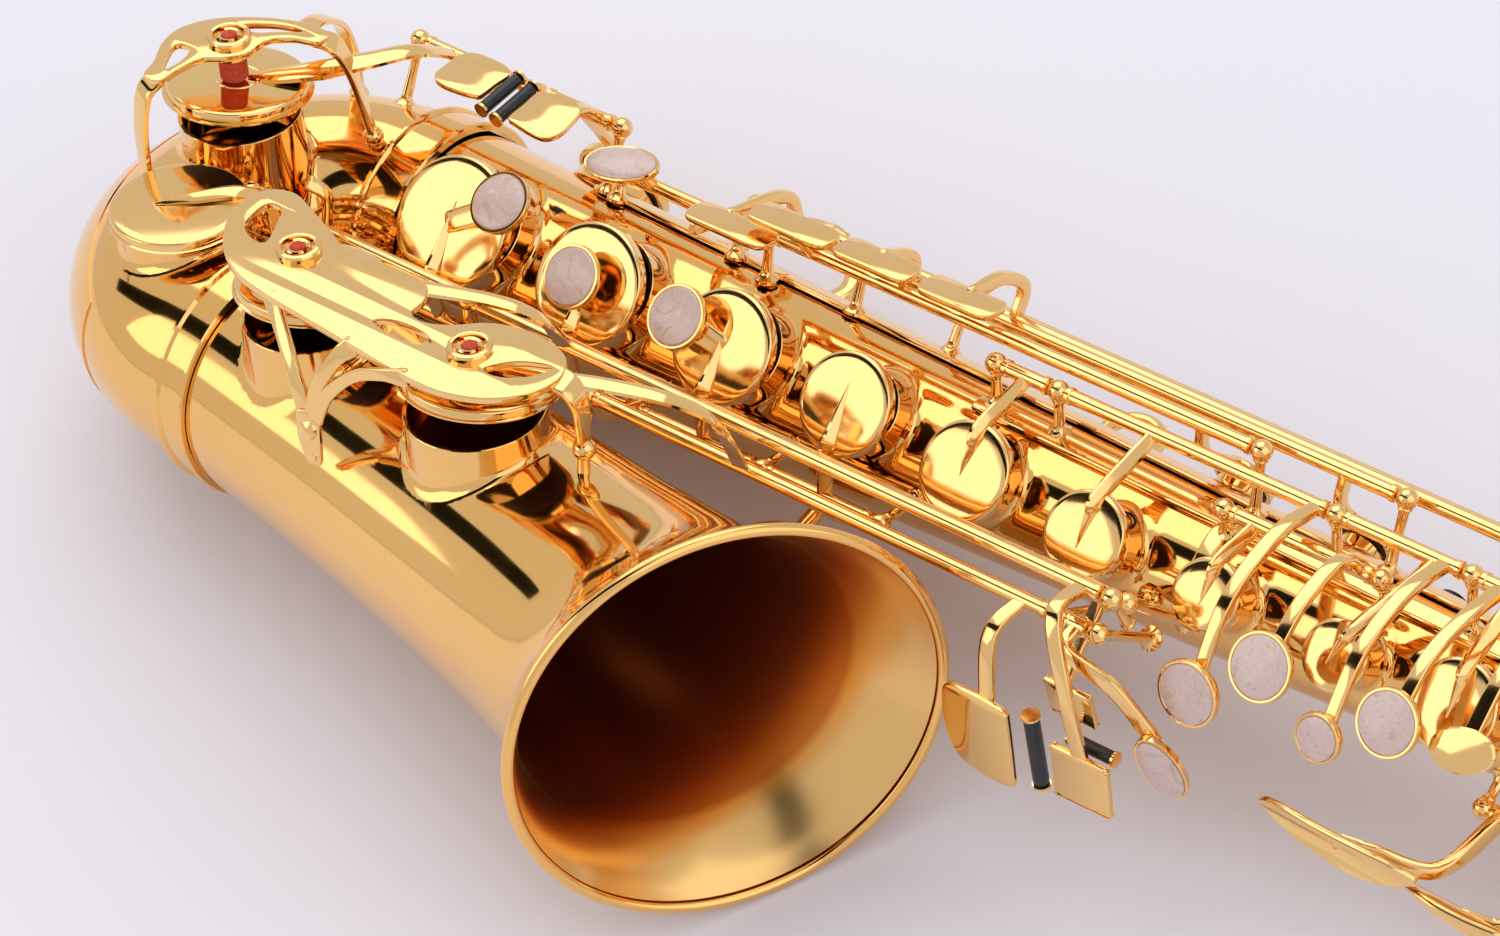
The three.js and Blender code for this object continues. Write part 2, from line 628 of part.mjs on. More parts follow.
sideKey("side_c", S2, 145, 318, 158, [[158, 17, 44], [158, 5, 51]], flat(159, 2, 52, 13), [
  [302, 13.5, 27.6], at(302, -52, 26.6),
], 2.6);
sideKey("high_e", S3, 175, 378, 188, [[188, 27, 41], [188, 18, 49.5], [188, 5, 51.5]], flat(188, 2, 52, 13), [
  at(362, -48, 25),
], 2.6);

// Palm keys on the left side: spoon touches lifted well clear of the tube.
function palmKey(name, l, x0, x1, path, touch) {
  const h = HOLES[name];
  keys[name + "_key"] = join([
    hinge(l, x0, x1),
    cup(h, 10),
    bar([[h.foot[0] - 4, ...l], cupTop(h)], 2, 1.6),
    bar([[x0 + 3, ...l], ...path, touch.c], 2.2, 1.9),
    plate(touch.c, touch.n, touch.along, touch.a, touch.b, 2.2, 14),
  ]);
  keyMotion(name + "_key", l, (x0 + x1) / 2, h, 1.6);
}
const spoon = (x, phi, rho, a, b, lean) => ({ c: at(x, phi, rho), n: at(0, phi, 1), along: lean, a, b });
palmKey("palm_d", PD, 376, 416, [at(374, 112, 48)], spoon(350, 104, 57, 24, 6.5, [1, 0, -0.1]));
palmKey("palm_eb", PE, 420, 446, [at(420, 128, 46)], spoon(382, 122, 54, 19, 6.5, [1, 0, -0.2]));
palmKey("palm_f", PF, 450, 472, [at(446, 148, 43)], spoon(408, 142, 50, 16, 6.5, [1, 0.1, 0]));

// Front F: teardrop touch above the B pearl.
keys.front_f_key = join([
  hinge(A3B, 374.2, 384),
  bar([[379, ...A3B], at(380, 30, 43), at(380, 58, 47.6)], 1.8, 1.6),
  plate(at(380, 62, 48), at(0, 62, 1), [1, 0, 0.3], 9.5, 6, 2.2, 14),
]);
motions.push({ name: "front_f_key", at: [379, ...A3B], axis: [1, 0, 0], turn: 4 });

// Octave work: thumb lever at the back, vent on the body, key on the neck.
keys.octave_lever = join([
  hinge(OV, 352, 474.8),
  bar([[358, ...OV], at(356, -112, 31), at(352, -100, 35)], 2, 1.8),
  plate(at(349, -97, 36), at(0, -97, 1), [1, 0, 0], 12, 7.5, 2.4, 16),
  bar([[472, ...OV], [476, 25, -24], [508, 22, -21], [518, 19, -19]], 1.8, 1.6),
]);
motions.push({ name: "octave_lever", at: [400, ...OV], axis: [1, 0, 0], turn: 5 });
keys.octave_vent_key = join([
  hinge(OB, 378, 400),
  cup(HOLES.octave_vent, 10),
  bar([[394, ...OB], cupTop(HOLES.octave_vent)], 1.7, 1.4),
]);
keyMotion("octave_vent_key", OB, 390, HOLES.octave_vent, 2);

// ---------- guards and fittings ----------
const GUARD_Z = 62;
function bellKeyGuard() {
  const b = HOLES.low_b.foot;
  const bb = HOLES.low_bb.foot;
  const top = [0, 0, 1];
  const body = join([
    plate([b[0] + 2, b[1], GUARD_Z], top, [1, 0, 0], 27, 19, 2.4, 18),
    plate([bb[0] + 2, bb[1], GUARD_Z], top, [1, 0, 0], 27, 19, 2.4, 18),
    box([(b[0] + bb[0]) / 2, (b[1] + bb[1]) / 2, GUARD_Z], top, [bb[0] - b[0], bb[1] - b[1], 0], 26, 12, 2.4),
  ]);
  const windows = [
    plate([b[0] - 14, b[1] + 6, GUARD_Z], top, [1, 0.6, 0], 8, 4, 6, 8),
    plate([b[0] + 30, b[1] - 6, GUARD_Z], top, [1, -0.1, 0], 10, 4.4, 6, 8),
    plate([bb[0] + 19, bb[1] - 2, GUARD_Z], top, [1, 0, 0], 5.5, 5, 6, 8),
  ];
  const bumper = (c) => rod([c[0], c[1], GUARD_Z - 3.4], [c[0], c[1], GUARD_Z + 3.4], 6.2, 6.2, 10);
  const feltWell = (c) => rod([c[0], c[1], GUARD_Z + 0.6], [c[0], c[1], GUARD_Z + 5], 4.2, 4.2, 8);
  const legs = [
    [[62, -108, GUARD_Z], [64, -118, 50], [65, -120.6, 30]],
    [[48, -108, GUARD_Z], [58, -117, 50], [65, -120.6, 32]],
    [[129, -94, GUARD_Z], [136, -93, 56], [138, -93.5, 39.5]],
    [[16, -84, GUARD_Z], [10, -76, 52], [11, -74, 37.6]],
  ].map((p) => bar(p, 2.2, 1.9));
  const feet = [ball([65, -120.6, 28.6], 3.4), ball([138, -93.5, 41], 3.4), ball([11, -74, 39.2], 3.4)];
  return cut(join([body, bumper(b), bumper(bb), ...legs, ...feet]), [
    ...windows,
    feltWell(b),
    feltWell(bb),
    bellSkin(GAP + 0.2, 3, 0),
  ]);
}

function lowCGuard() {
  const c = HOLES.low_c.foot;
  const z = 66;
  const top = [0, 0, 1];
  const rail = (pts) => bar(pts, 2.2, 2);
  return cut(
    join([
      plate([c[0] + 4, c[1], z], top, [1, 0.5, 0], 25, 17, 2.4, 18),
      rod([c[0], c[1], z - 3.4], [c[0], c[1], z + 3.4], 6.2, 6.2, 10),
      rail([[-58, -44, z], [-72, -48, 56], [-76, -48, 22]]),
      rail([[-26, -22, z], [-28, -2, 58], [-36, 8, 40], [-42, 9, 21]]),
      rail([[-26, -30, z], [-17, -18, 52], [-16, -10, 29]]),
      ball([-75.6, -48, 20], 3.4),
      ball([-42, 9, 20], 3.4),
      ball([-16, -10, 27.5], 3),
    ]),
    [
      plate([c[0] + 13, c[1] + 7, z], top, [1, 0.4, 0], 6, 4, 6, 12),
      plate([c[0] - 10, c[1] - 6, z], top, [0.3, 1, 0], 6, 3, 6, 12),
      rod([c[0], c[1], z + 0.6], [c[0], c[1], z + 6], 4.2, 4.2, 8),
      bowSkin(GAP + 0.2, 2),
      rod([-4, 0, 0], [-30, 0, 0], BOW_R0 + 2, BOW_R0 + 0.6, 24),
    ],
  );
}

function thumbHook() {
  const y = bodyR(105);
  return join([
    box([105, y + 1.7, 0], [0, 1, 0], [1, 0, 0], 13, 8, 2),
    bar([[113, y + 1, 0], [115, y + 14, 1], [108, y + 24, 2], [92, y + 27, 3], [84, y + 23, 4]], 4, 3.2, 6),
  ]);
}

function strapRing() {
  const y = bodyR(218);
  const loop = new THREE.TorusGeometry(8, 2.2, 6, 14);
  loop.translate(218, y + 10.6, 0);
  return join([box([218, y + 1.7, 0], [0, 1, 0], [1, 0, 0], 13, 4.5, 2), solid(loop)]);
}

// ---------- neck and mouthpiece ----------
const NECK = [
  [488, 0, 13.1], [514, 0, 13.1], [518, 0, 13.1], [533, 1, 12.9], [551, 7, 12.6], [568, 20, 12.2],
  [580, 38, 11.8], [586.5, 60, 11.3], [588.5, 84, 10.8], [586.5, 108, 10.2], [583, 132, 9.6], [579.6, 156, 9],
];
function neckSections(grow, extend = 0) {
  return NECK.map(([x, y, r], i) => {
    const a = NECK[Math.max(i - 1, 0)];
    const b = NECK[Math.min(i + 1, NECK.length - 1)];
    const tilt = (Math.atan2(-(b[1] - a[1]), b[0] - a[0]) * 180) / Math.PI;
    const k = i === 0 ? -extend : i === NECK.length - 1 ? extend : 0;
    return { c: [x + k * Math.cos(rad(tilt)), y - k * Math.sin(rad(tilt)), 0], tilt, r: r + grow };
  });
}
const NECK_END = [579.6, 156, 0];
const NECK_DIR = V([-3.4, 24, 0]).normalize().toArray();
const onNeck = (s, side = 0, z = 0) => {
  const d = V(NECK_DIR);
  const across = new THREE.Vector3(d.y, -d.x, 0); // away from the body tube
  return V(NECK_END).addScaledVector(d, s).addScaledVector(across, side).add(new THREE.Vector3(0, 0, z)).toArray();
};

function neckTube() {
  const collar = rod([513, 0, 0], [519, 0, 0], 16, 14.6, 16);
  const brace = bar([[536, 15, 0], [552, 28, 0], [563, 45, 0], [568, 68, 0]], 3.2, 2.6, 5);
  return cut(join([loft(neckSections(0), 14), collar, brace]), [loft(neckSections(-WALL, 2), 14)]);
}
const neckCork = () => cut(rod(onNeck(-30), onNeck(-1), 11.4, 11.2, 14), [loft(neckSections(GAP, 1), 14)]);

function mouthpiece() {
  const barrel = rod(onNeck(-22), onNeck(36), 13.4, 13.2, 16);
  const shank = rod(onNeck(-23), onNeck(-15), 14.2, 14.2, 16);
  const beak = rod(onNeck(35.8), onNeck(66), 13.2, 6.4, 16);
  const table = box(onNeck(42, -19.6), onNeck(0, 1).map((v, i) => v - NECK_END[i]), NECK_DIR, 40, 16, 20);
  const ramp = box(onNeck(62, 15.5), V(onNeck(0, 1)).sub(V(NECK_END)).addScaledVector(V(NECK_DIR), 0.42).toArray(),
    NECK_DIR, 26, 16, 14);
  const bore = rod(onNeck(-24), onNeck(22), 11.9, 11.8, 14);
  const throat = rod(onNeck(21), onNeck(46), 7, 5, 16);
  const chamber = box(onNeck(50, -6), onNeck(0, 1).map((v, i) => v - NECK_END[i]), NECK_DIR, 14, 4.6, 8.4);
  return cut(join([barrel, shank, beak]), [table, ramp, bore, throat, chamber]);
}

function reed() {
  const n = V(onNeck(0, 1)).sub(V(NECK_END)).toArray();
  return box(onNeck(40.5, -11.1), n, NECK_DIR, 24.5, 6.4, 1.9);
}

function ligature() {
  const band = cut(rod(onNeck(14), onNeck(32), 16.4, 16.4, 14), [rod(onNeck(12), onNeck(34), 14.9, 14.9, 14)]);
  const screw = (s) => rod(onNeck(s, -17.6, -8), onNeck(s, -17.6, 12), 1.8, 1.8, 8);
  const head = (s) => rod(onNeck(s, -17.6, 11), onNeck(s, -17.6, 15), 4, 4, 12);
  return join([band, screw(18), head(18), screw(28), head(28)]);
}

const NECK_KEY_AT = [560, 13, 0];
function neckOctaveKey() {
  const arms = [];
  for (const z of [-1, 1])
    arms.push(
      bar([[524.5, 0.5, 19.4 * z], [548, -4, 17.6 * z], [566, 4, 16 * z], [580, 16, 10 * z], [591, 26, 0]], 1.7, 1.7),
    );
  const seat = [594, 27, 0];
  return join([
    solid(new THREE.TorusGeometry(19.4, 1.6, 4, 14).rotateY(Math.PI / 2).translate(524.5, 0, 0)),
    ...arms,
    bar([[590, 25, 0], seat, [600.8, 47, 0]], 2, 1.8),
    rod([602.5, 51, 0], [598.8, 51.9, 0], 5, 5, 14),
    ball([591, 26, 0], 2.4),
  ]);
}

// The neck clamp screw: threaded shank through the lugs and a flat thumb piece.
const neckScrew = () =>
  join([
    rod([498, 20, -9], [498, 20, 17], 1.9, 1.9, 8),
    plate([498, 20, 20.5], [0, 1, 0], [1, 0, 0], 7, 5.5, 2.2, 12),
  ]);

// ---------- assembly ----------
const MATERIALS = {
  lacquer: [0xc8923a, 1, 0.22],
  pearl: [0xe8d5d8, 0, 0.25],
  roller: [0x151515, 0, 0.35],
  ebonite: [0x111111, 0, 0.3],
  cork: [0xb98a5a, 0, 0.9],
  cane: [0xd9bd82, 0, 0.6],
};
const root = new THREE.Group();
const tilted = new THREE.Group();
tilted.rotation.order = "XYZ";
tilted.rotation.set(rad(REST_ROLL), rad(REST_PITCH), 0);
tilted.position.set(...SHIFT);
root.add(tilted);

function add(name, solidPiece, kind = "lacquer") {
  const s = solidPiece.simplify(FINE);
  const m = s.getMesh();
  const position = new Float32Array(m.numVert * 3);
  for (let i = 0; i < m.numVert; i++)
    position.set(m.vertProperties.subarray(i * m.numProp, i * m.numProp + 3), i * 3);
  const g = new THREE.BufferGeometry();
  g.setAttribute("position", new THREE.BufferAttribute(position, 3));
  g.setIndex(new THREE.BufferAttribute(m.triVerts, 1));
  g.computeVertexNormals();
  const [color, metalness, roughness] = MATERIALS[kind];
  const mesh = new THREE.Mesh(g, new THREE.MeshStandardMaterial({ color, metalness, roughness }));
  mesh.name = name;
  tilted.add(mesh);
}

const fixed = {
  body_tube: bodyTube,
  bow,
  bell,
  body_bow_ring: bodyBowRing,
  bell_bow_ring: () => ring([4.8, -80.8, 0], 6, BOW_R1 + 1.2, BOW_R1 + 2.7, 12),
  bell_brace: bellBrace,
  bell_key_guard: bellKeyGuard,
  low_c_guard: lowCGuard,
  rh_post_rib: rhPostRib,
  lh_post_rib: lhPostRib,
  side_post_rib: sidePostRib,
  thumb_hook: thumbHook,
  strap_ring: strapRing,
  neck_screw: neckScrew,
  neck_tube: neckTube,
  neck_octave_key: neckOctaveKey,
  ligature,
};
for (const [name, make] of Object.entries(fixed)) add(name, make());
add("neck_cork", neckCork(), "cork");
add("mouthpiece", mouthpiece(), "ebonite");
add("reed", reed(), "cane");
for (const [name, s] of Object.entries(keys)) add(name, s);
for (const [name, s] of Object.entries(pearls)) add(name, s, "pearl");
for (const [name, s] of Object.entries(rollers)) add(name, s, "roller");

export { motions };
export default root;
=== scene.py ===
"""Alto saxophone lying on a pale table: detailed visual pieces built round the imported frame."""
from math import atan2, cos, degrees, hypot, pi, radians, sin

import bmesh
import bpy
import numpy as np
from mathutils import Matrix, Vector
from mathutils.bvhtree import BVHTree
from mathutils.geometry import tessellate_polygon


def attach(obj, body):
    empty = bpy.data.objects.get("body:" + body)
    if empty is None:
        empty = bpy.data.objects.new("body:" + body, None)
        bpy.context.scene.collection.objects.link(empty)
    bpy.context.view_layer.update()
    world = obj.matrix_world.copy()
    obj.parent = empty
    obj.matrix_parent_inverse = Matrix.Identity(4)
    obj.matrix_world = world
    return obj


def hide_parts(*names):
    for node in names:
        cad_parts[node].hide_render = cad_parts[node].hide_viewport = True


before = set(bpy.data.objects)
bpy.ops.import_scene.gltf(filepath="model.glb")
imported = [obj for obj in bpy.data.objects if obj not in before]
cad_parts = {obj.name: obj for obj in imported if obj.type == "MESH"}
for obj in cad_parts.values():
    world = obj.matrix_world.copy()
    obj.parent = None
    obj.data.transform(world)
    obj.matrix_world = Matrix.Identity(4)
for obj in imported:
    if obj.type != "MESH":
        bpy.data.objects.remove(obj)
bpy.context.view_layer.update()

# ---------------------------------------------------------------- layout (mm, as in the CAD)
# X runs up the body tube, Z is the player's right, -Y is the bell side.
WALL = 1.1
GAP = 0.3
BODY_R0, BODY_SLOPE = 28.3, 0.0297
BOW_R, BOW_X, BOW_R0, BOW_R1 = 40.0, -11.5, 28.6, 33.4
RIM = dict(x=201.7, y=-115.0, z=-6.8, r=61.5, tilt=28.9)
BELL0 = dict(x=7.3, y=-81.0, z=0.0, tilt=8.0)
ROLL, PITCH = -13.106, -2.704
SHIFT = (-260.31, -28.86, 32.09)
ROW = (
    Matrix.Scale(0.001, 4)
    @ Matrix.Translation(SHIFT)
    @ Matrix.Rotation(radians(ROLL), 4, "X")
    @ Matrix.Rotation(radians(PITCH), 4, "Y")
)


def body_r(x):
    return BODY_R0 - BODY_SLOPE * x


def at(x, phi, rho):
    """A point round the body tube; phi is measured from +Z towards the bell."""
    return np.array([x, -rho * sin(radians(phi)), rho * cos(radians(phi))])


def lerp(a, b, t):
    return a + (b - a) * t


def arr(p):
    return np.asarray(p, float)


def unit(v):
    v = arr(v)
    return v / np.linalg.norm(v)


# ---------------------------------------------------------------- shapes: each is (vertices, faces)
def skin(rings, caps=True, close=False):
    n, m = len(rings[0]), len(rings)
    faces = []
    for i in range(m if close else m - 1):
        a, b = i * n, ((i + 1) % m) * n
        for k in range(n):
            j = (k + 1) % n
            faces.append((a + k, a + j, b + j, b + k))
    if caps and not close:
        faces.append(tuple(range(n - 1, -1, -1)))
        faces.append(tuple((m - 1) * n + k for k in range(n)))
    return np.vstack(rings), faces


def merge(geos):
    verts, faces, base = [], [], 0
    for v, f in geos:
        verts.append(v)
        faces += [tuple(i + base for i in q) for q in f]
        base += len(v)
    return np.vstack(verts), faces


def flat_list(items):
    if isinstance(items, tuple):
        return [items]
    out = []
    for g in items:
        if isinstance(g, list):
            out += flat_list(g)
        else:
            out.append(g)
    return out


def basis(normal, along):
    n = unit(normal)
    x = arr(along)
    x = unit(x - n * x.dot(n))
    return x, np.cross(n, x), n


def across(axis):
    """A direction of the layout that is clearly not along the axis."""
    return (1, 0, 0) if abs(unit(axis)[0]) < 0.8 else (0, 1, 0)


def lathe(profile, c, axis, n=40):
    """A turned form; profile holds (radius, height along the axis)."""
    x, y, z = basis(axis, across(axis))
    t = np.linspace(0, 2 * pi, n, endpoint=False)
    rings = []
    for r, h in profile:
        r = max(r, 0.04)
        rings.append(arr(c) + np.outer(np.cos(t) * r, x) + np.outer(np.sin(t) * r, y) + z * h)
    return skin(rings)


def oval(c, normal, along, a, b, steps, n=40):
    """An oval button: steps are (inset from the edge, height)."""
    x, y, z = basis(normal, along)
    t = np.linspace(0, 2 * pi, n, endpoint=False)
    rings = []
    for inset, h in steps:
        k = max(0.02, (min(a, b) - inset) / min(a, b)) if inset > min(a, b) * 0.6 else None
        ra, rb = (a * k, b * k) if k else (a - inset, b - inset)
        rings.append(arr(c) + np.outer(np.cos(t) * ra, x) + np.outer(np.sin(t) * rb, y) + z * h)
    return skin(rings)


def rod(a, b, r0, r1=None, n=20, bevel=0.25):
    """A straight round bar with softened ends."""
    r1 = r0 if r1 is None else r1
    a, b = arr(a), arr(b)
    length = np.linalg.norm(b - a)
    e = min(bevel, length * 0.2, r0 * 0.5)
    return lathe([(0.05, 0), (r0 - e, 0), (r0, e), (r1, length - e), (r1 - e, length), (0.05, length)], a,
                 b - a, n)


def between(a, b, c, d, t):
    """A point of the smooth curve through a, b, c and d, at share t of the way from b to c."""
    square, cube = 2 * a - 5 * b + 4 * c - d, 3 * b - a - 3 * c + d
    return 0.5 * (2 * b + (c - a) * t + square * t * t + cube * t ** 3)


def curve(points, per=7):
    """Catmull-Rom through the points; returns (points, parameters)."""
    p = [arr(q) for q in points]
    if len(p) == 2:
        s = np.linspace(0, 1, per + 1)
        return np.array([lerp(p[0], p[1], t) for t in s]), s
    q = [2 * p[0] - p[1]] + p + [2 * p[-1] - p[-2]]
    out, par = [], []
    for i in range(len(p) - 1):
        for k in range(per):
            t = k / per
            a, b, c, d = q[i : i + 4]
            out.append(
                between(a, b, c, d, t)
            )
            par.append(i + t)
    out.append(p[-1])
    par.append(len(p) - 1)
    return np.array(out), np.array(par)


def superellipse(n, e):
    t = np.linspace(0, 2 * pi, n, endpoint=False)
    return [(np.sign(cos(k)) * abs(cos(k)) ** e, np.sign(sin(k)) * abs(sin(k)) ** e) for k in t]


SECTION = {
    "round": superellipse(18, 1.0),
    "strap": superellipse(20, 0.38),
    "ridge": [(-1, -1), (-1, -0.25), (-0.72, 0.25), (-0.16, 0.95), (0.16, 0.95), (0.72, 0.25), (1, -0.25),
              (1, -1)],
}


def sweep(points, sizes, section="strap", up=None, per=7, blunt=True):
    """A bar through the points. sizes are (half width, half thickness) at each; up is the thickness side."""
    path, par = curve(points, per)
    if not hasattr(sizes[0], "__len__"):
        sizes = [(s, s) for s in sizes]
    if len(sizes) == 2 and len(points) > 2:
        sizes = [tuple(lerp(arr(sizes[0]), arr(sizes[1]), i / (len(points) - 1))) for i in range(len(points))]
    w = np.interp(par, range(len(points)), [s[0] for s in sizes])
    h = np.interp(par, range(len(points)), [s[1] for s in sizes])
    tangent = np.gradient(path, axis=0)
    tangent /= np.linalg.norm(tangent, axis=1)[:, None]
    ups = None
    if up is not None:
        up = arr(up)
        ups = np.tile(up, (len(path), 1)) if up.ndim == 1 else np.array(
            [np.interp(par, range(len(up)), up[:, k]) for k in range(3)]).T
    side = None
    rings = []
    shape = arr(SECTION[section])
    frames = []
    for i, t in enumerate(tangent):
        if ups is not None:
            s = np.cross(t, ups[i])
        elif side is None:
            s = np.cross(t, (0, 0, 1)) if abs(t[2]) < 0.9 else np.cross(t, (0, 1, 0))
        else:
            s = side - t * side.dot(t)
        side = unit(s)
        frames.append((side, np.cross(side, t)))
    def ring(i, k=1.0, shift=0.0):
        s, u = frames[i]
        return path[i] + tangent[i] * shift + np.outer(shape[:, 0] * w[i] * k,
                                                       s) + np.outer(shape[:, 1] * h[i] * k, u)
    last = len(path) - 1
    if blunt:
        for k, d in ((0.72, 0.75), (0.93, 0.4)):
            rings.append(ring(0, k, -d * min(w[0], h[0])))
    rings += [ring(i) for i in range(len(path))]
    if blunt:
        for k, d in ((0.93, 0.4), (0.72, 0.75)):
            rings.append(ring(last, k, d * min(w[last], h[last])))
    return skin(rings)


def closed_curve(points, per=6):
    p = [arr(q) for q in points]
    n = len(p)
    out = []
    for i in range(n):
        a, b, c, d = p[i - 1], p[i], p[(i + 1) % n], p[(i + 2) % n]
        for k in range(per):
            t = k / per
            out.append(
                between(a, b, c, d, t)
            )
    return np.array(out)


def area2(p):
    x, y = p[:, 0], p[:, 1]
    return 0.5 * np.sum(x * np.roll(y, -1) - np.roll(x, -1) * y)


def inset(p, d):
    """Moves a closed outline inwards (a hole outwards from its middle with d < 0)."""
    t = np.roll(p, -1, 0) - np.roll(p, 1, 0)
    t /= np.linalg.norm(t, axis=1)[:, None] + 1e-9
    s = 1 if area2(p) > 0 else -1
    return p + s * d * np.stack([-t[:, 1], t[:, 0]], 1)


def sheet_plate(outline, z0, z1, holes=(), bevel=0.45, place=None, smooth=6):
    """A flat plate cut to an outline, with softened edges. place maps (x, y, z) to the layout frame."""
    loops = [closed_curve(outline, smooth) if smooth else arr(outline)]
    loops += [closed_curve(h, smooth) for h in holes]
    verts, faces, base = [], [], 0
    tops, bottoms = [], []
    for k, loop in enumerate(loops):
        d = bevel if k == 0 else -bevel
        n = len(loop)
        layers = [(inset(loop, d), z0), (inset(loop, d * 0.3), z0 + bevel * 0.3), (loop, z0 + bevel),
                  (loop, z1 - bevel), (inset(loop, d * 0.3), z1 - bevel * 0.3), (inset(loop, d), z1)]
        for q, z in layers:
            verts.append(np.column_stack([q, np.full(n, z)]))
        for i in range(5):
            a, b = base + i * n, base + (i + 1) * n
            for j in range(n):
                m = (j + 1) % n
                faces.append((a + j, a + m, b + m, b + j))
        bottoms.append((base, layers[0][0]))
        tops.append((base + 5 * n, layers[5][0]))
        base += 6 * n
    for group in (bottoms, tops):
        index = [b + i for b, q in group for i in range(len(q))]
        tris = tessellate_polygon([[Vector((p[0], p[1], 0)) for p in q] for _, q in group])
        faces += [tuple(index[i] for i in t) for t in tris]
    v = np.vstack(verts)
    if place is not None:
        v = np.array([place(*p) for p in v])
    return v, faces


def on_plane(centre, normal, along):
    x, y, z = basis(normal, along)
    c = arr(centre)
    return lambda u, v, w: c + x * u + y * v + z * w


def torus(c, axis, major, minor, n=40, m=14):
    x, y, z = basis(axis, across(axis))
    rings = []
    for t in np.linspace(0, 2 * pi, n, endpoint=False):
        d = x * cos(t) + y * sin(t)
        ring = []
        for k in np.linspace(0, 2 * pi, m, endpoint=False):
            ring.append(arr(c) + d * (major + minor * cos(k)) + z * minor * sin(k))
        rings.append(np.array(ring))
    return skin(rings, caps=False, close=True)


def turned(geo, line, degrees_):
    """The shape turned about a hinge line that runs along X at [y, z]."""
    v, f = geo
    k = radians(degrees_)
    y, z = v[:, 1] - line[0], v[:, 2] - line[1]
    w = v.copy()
    w[:, 1] = line[0] + y * cos(k) - z * sin(k)
    w[:, 2] = line[1] + y * sin(k) + z * cos(k)
    return w, f


# ---------------------------------------------------------------- objects
def mesh_object(name, geo, sharp=34):
    v, f = geo
    me = bpy.data.meshes.new(name)
    me.from_pydata([tuple(p) for p in v], [], f)
    bm = bmesh.new()
    bm.from_mesh(me)
    bmesh.ops.recalc_face_normals(bm, faces=bm.faces)
    finish_mesh(bm, me, sharp)
    obj = bpy.data.objects.new(name, me)
    bpy.context.scene.collection.objects.link(obj)
    return obj


def finish_mesh(bm, me, sharp):
    limit = radians(sharp)
    for face in bm.faces:
        face.smooth = True
    for e in bm.edges:
        e.smooth = len(e.link_faces) == 2 and e.calc_face_angle(0) < limit
    bm.to_mesh(me)
    bm.free()
    me.update()


def boolean(obj, geo, operation):
    """Adds or cuts a closed shape, with the solver for closed bodies."""
    other = mesh_object("operand", geo)
    mod = obj.modifiers.new("cut", "BOOLEAN")
    mod.operation = operation
    mod.object = other
    mod.solver = "MANIFOLD"
    bpy.context.view_layer.update()
    evaluated = obj.evaluated_get(bpy.context.evaluated_depsgraph_get())
    me = bpy.data.meshes.new_from_object(evaluated)
    obj.modifiers.clear()
    old = obj.data
    obj.data = me
    bpy.data.meshes.remove(old)
    data = other.data
    bpy.data.objects.remove(other)
    bpy.data.meshes.remove(data)


def place(obj, body, material, slot, nodes=()):
    obj.data.transform(ROW)
    obj.data.materials.clear()
    obj.data.materials.append(material)
    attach(obj, body)
    if nodes:
        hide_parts(*nodes)
    return obj


def piece(name, body, shapes, material="lacquer", nodes=(), sharp=34):
    obj = mesh_object(name, merge(flat_list(shapes)), sharp)
    slot = SLOT_OF.get(material, material)
    return place(obj, body, MATERIAL[material], slot, nodes)


# ---------------------------------------------------------------- materials
def new_material(name):
    m = bpy.data.materials.new(name)
    m.use_nodes = True
    return m, m.node_tree.nodes, m.node_tree.links, m.node_tree.nodes["Principled BSDF"]


def noise(nodes, links, scale, detail=3.0, rough=0.5, distortion=0.0, coords=None):
    t = nodes.new("ShaderNodeTexNoise")
    t.inputs["Scale"].default_value = scale
    t.inputs["Detail"].default_value = detail
    t.inputs["Roughness"].default_value = rough
    t.inputs["Distortion"].default_value = distortion
    if coords is not None:
        links.new(coords, t.inputs["Vector"])
    return t


def ramp(nodes, links, source, stops):
    r = nodes.new("ShaderNodeValToRGB")
    while len(r.color_ramp.elements) < len(stops):
        r.color_ramp.elements.new(0.5)
    for e, (pos, col) in zip(r.color_ramp.elements, stops):
        e.position = pos
        e.color = (*col, 1.0) if len(col) == 3 else (col[0],) * 3 + (1.0,)
    links.new(source, r.inputs["Fac"])
    return r


def spread(nodes, links, source, low, high):
    m = nodes.new("ShaderNodeMapRange")
    m.inputs["To Min"].default_value = low
    m.inputs["To Max"].default_value = high
    links.new(source, m.inputs["Value"])
    return m.outputs["Result"]


def bump(nodes, links, bsdf, height, strength, distance):
    b = nodes.new("ShaderNodeBump")
    b.inputs["Strength"].default_value = strength
    b.inputs["Distance"].default_value = distance
    links.new(height, b.inputs["Height"])
    links.new(b.outputs["Normal"], bsdf.inputs["Normal"])


def coords_of(nodes):
    return nodes.new("ShaderNodeTexCoord").outputs["Object"]


def lacquer(name, tone, deep, rough, wave):
    """Polished brass under clear lacquer: faint colour drift, fine scratches, slight waviness."""
    m, nodes, links, b = new_material(name)
    co = coords_of(nodes)
    drift = noise(nodes, links, 9.0, 4.0, 0.55, 0.3, co)
    links.new(ramp(nodes, links, drift.outputs["Fac"], [(0.3, deep), (0.7, tone)]).outputs["Color"],
              b.inputs["Base Color"])
    fine = noise(nodes, links, 160.0, 5.0, 0.65, 0.0, co)
    links.new(spread(nodes, links, fine.outputs["Fac"], rough * 0.6, rough * 1.5), b.inputs["Roughness"])
    b.inputs["Metallic"].default_value = 1.0
    b.inputs["Coat Weight"].default_value = 0.25
    b.inputs["Coat Roughness"].default_value = 0.04
    b.inputs["Coat IOR"].default_value = 1.5
    broad = noise(nodes, links, 34.0, 2.0, 0.4, 0.0, co)
    bump(nodes, links, b, broad.outputs["Fac"], wave, 0.001)
    return m


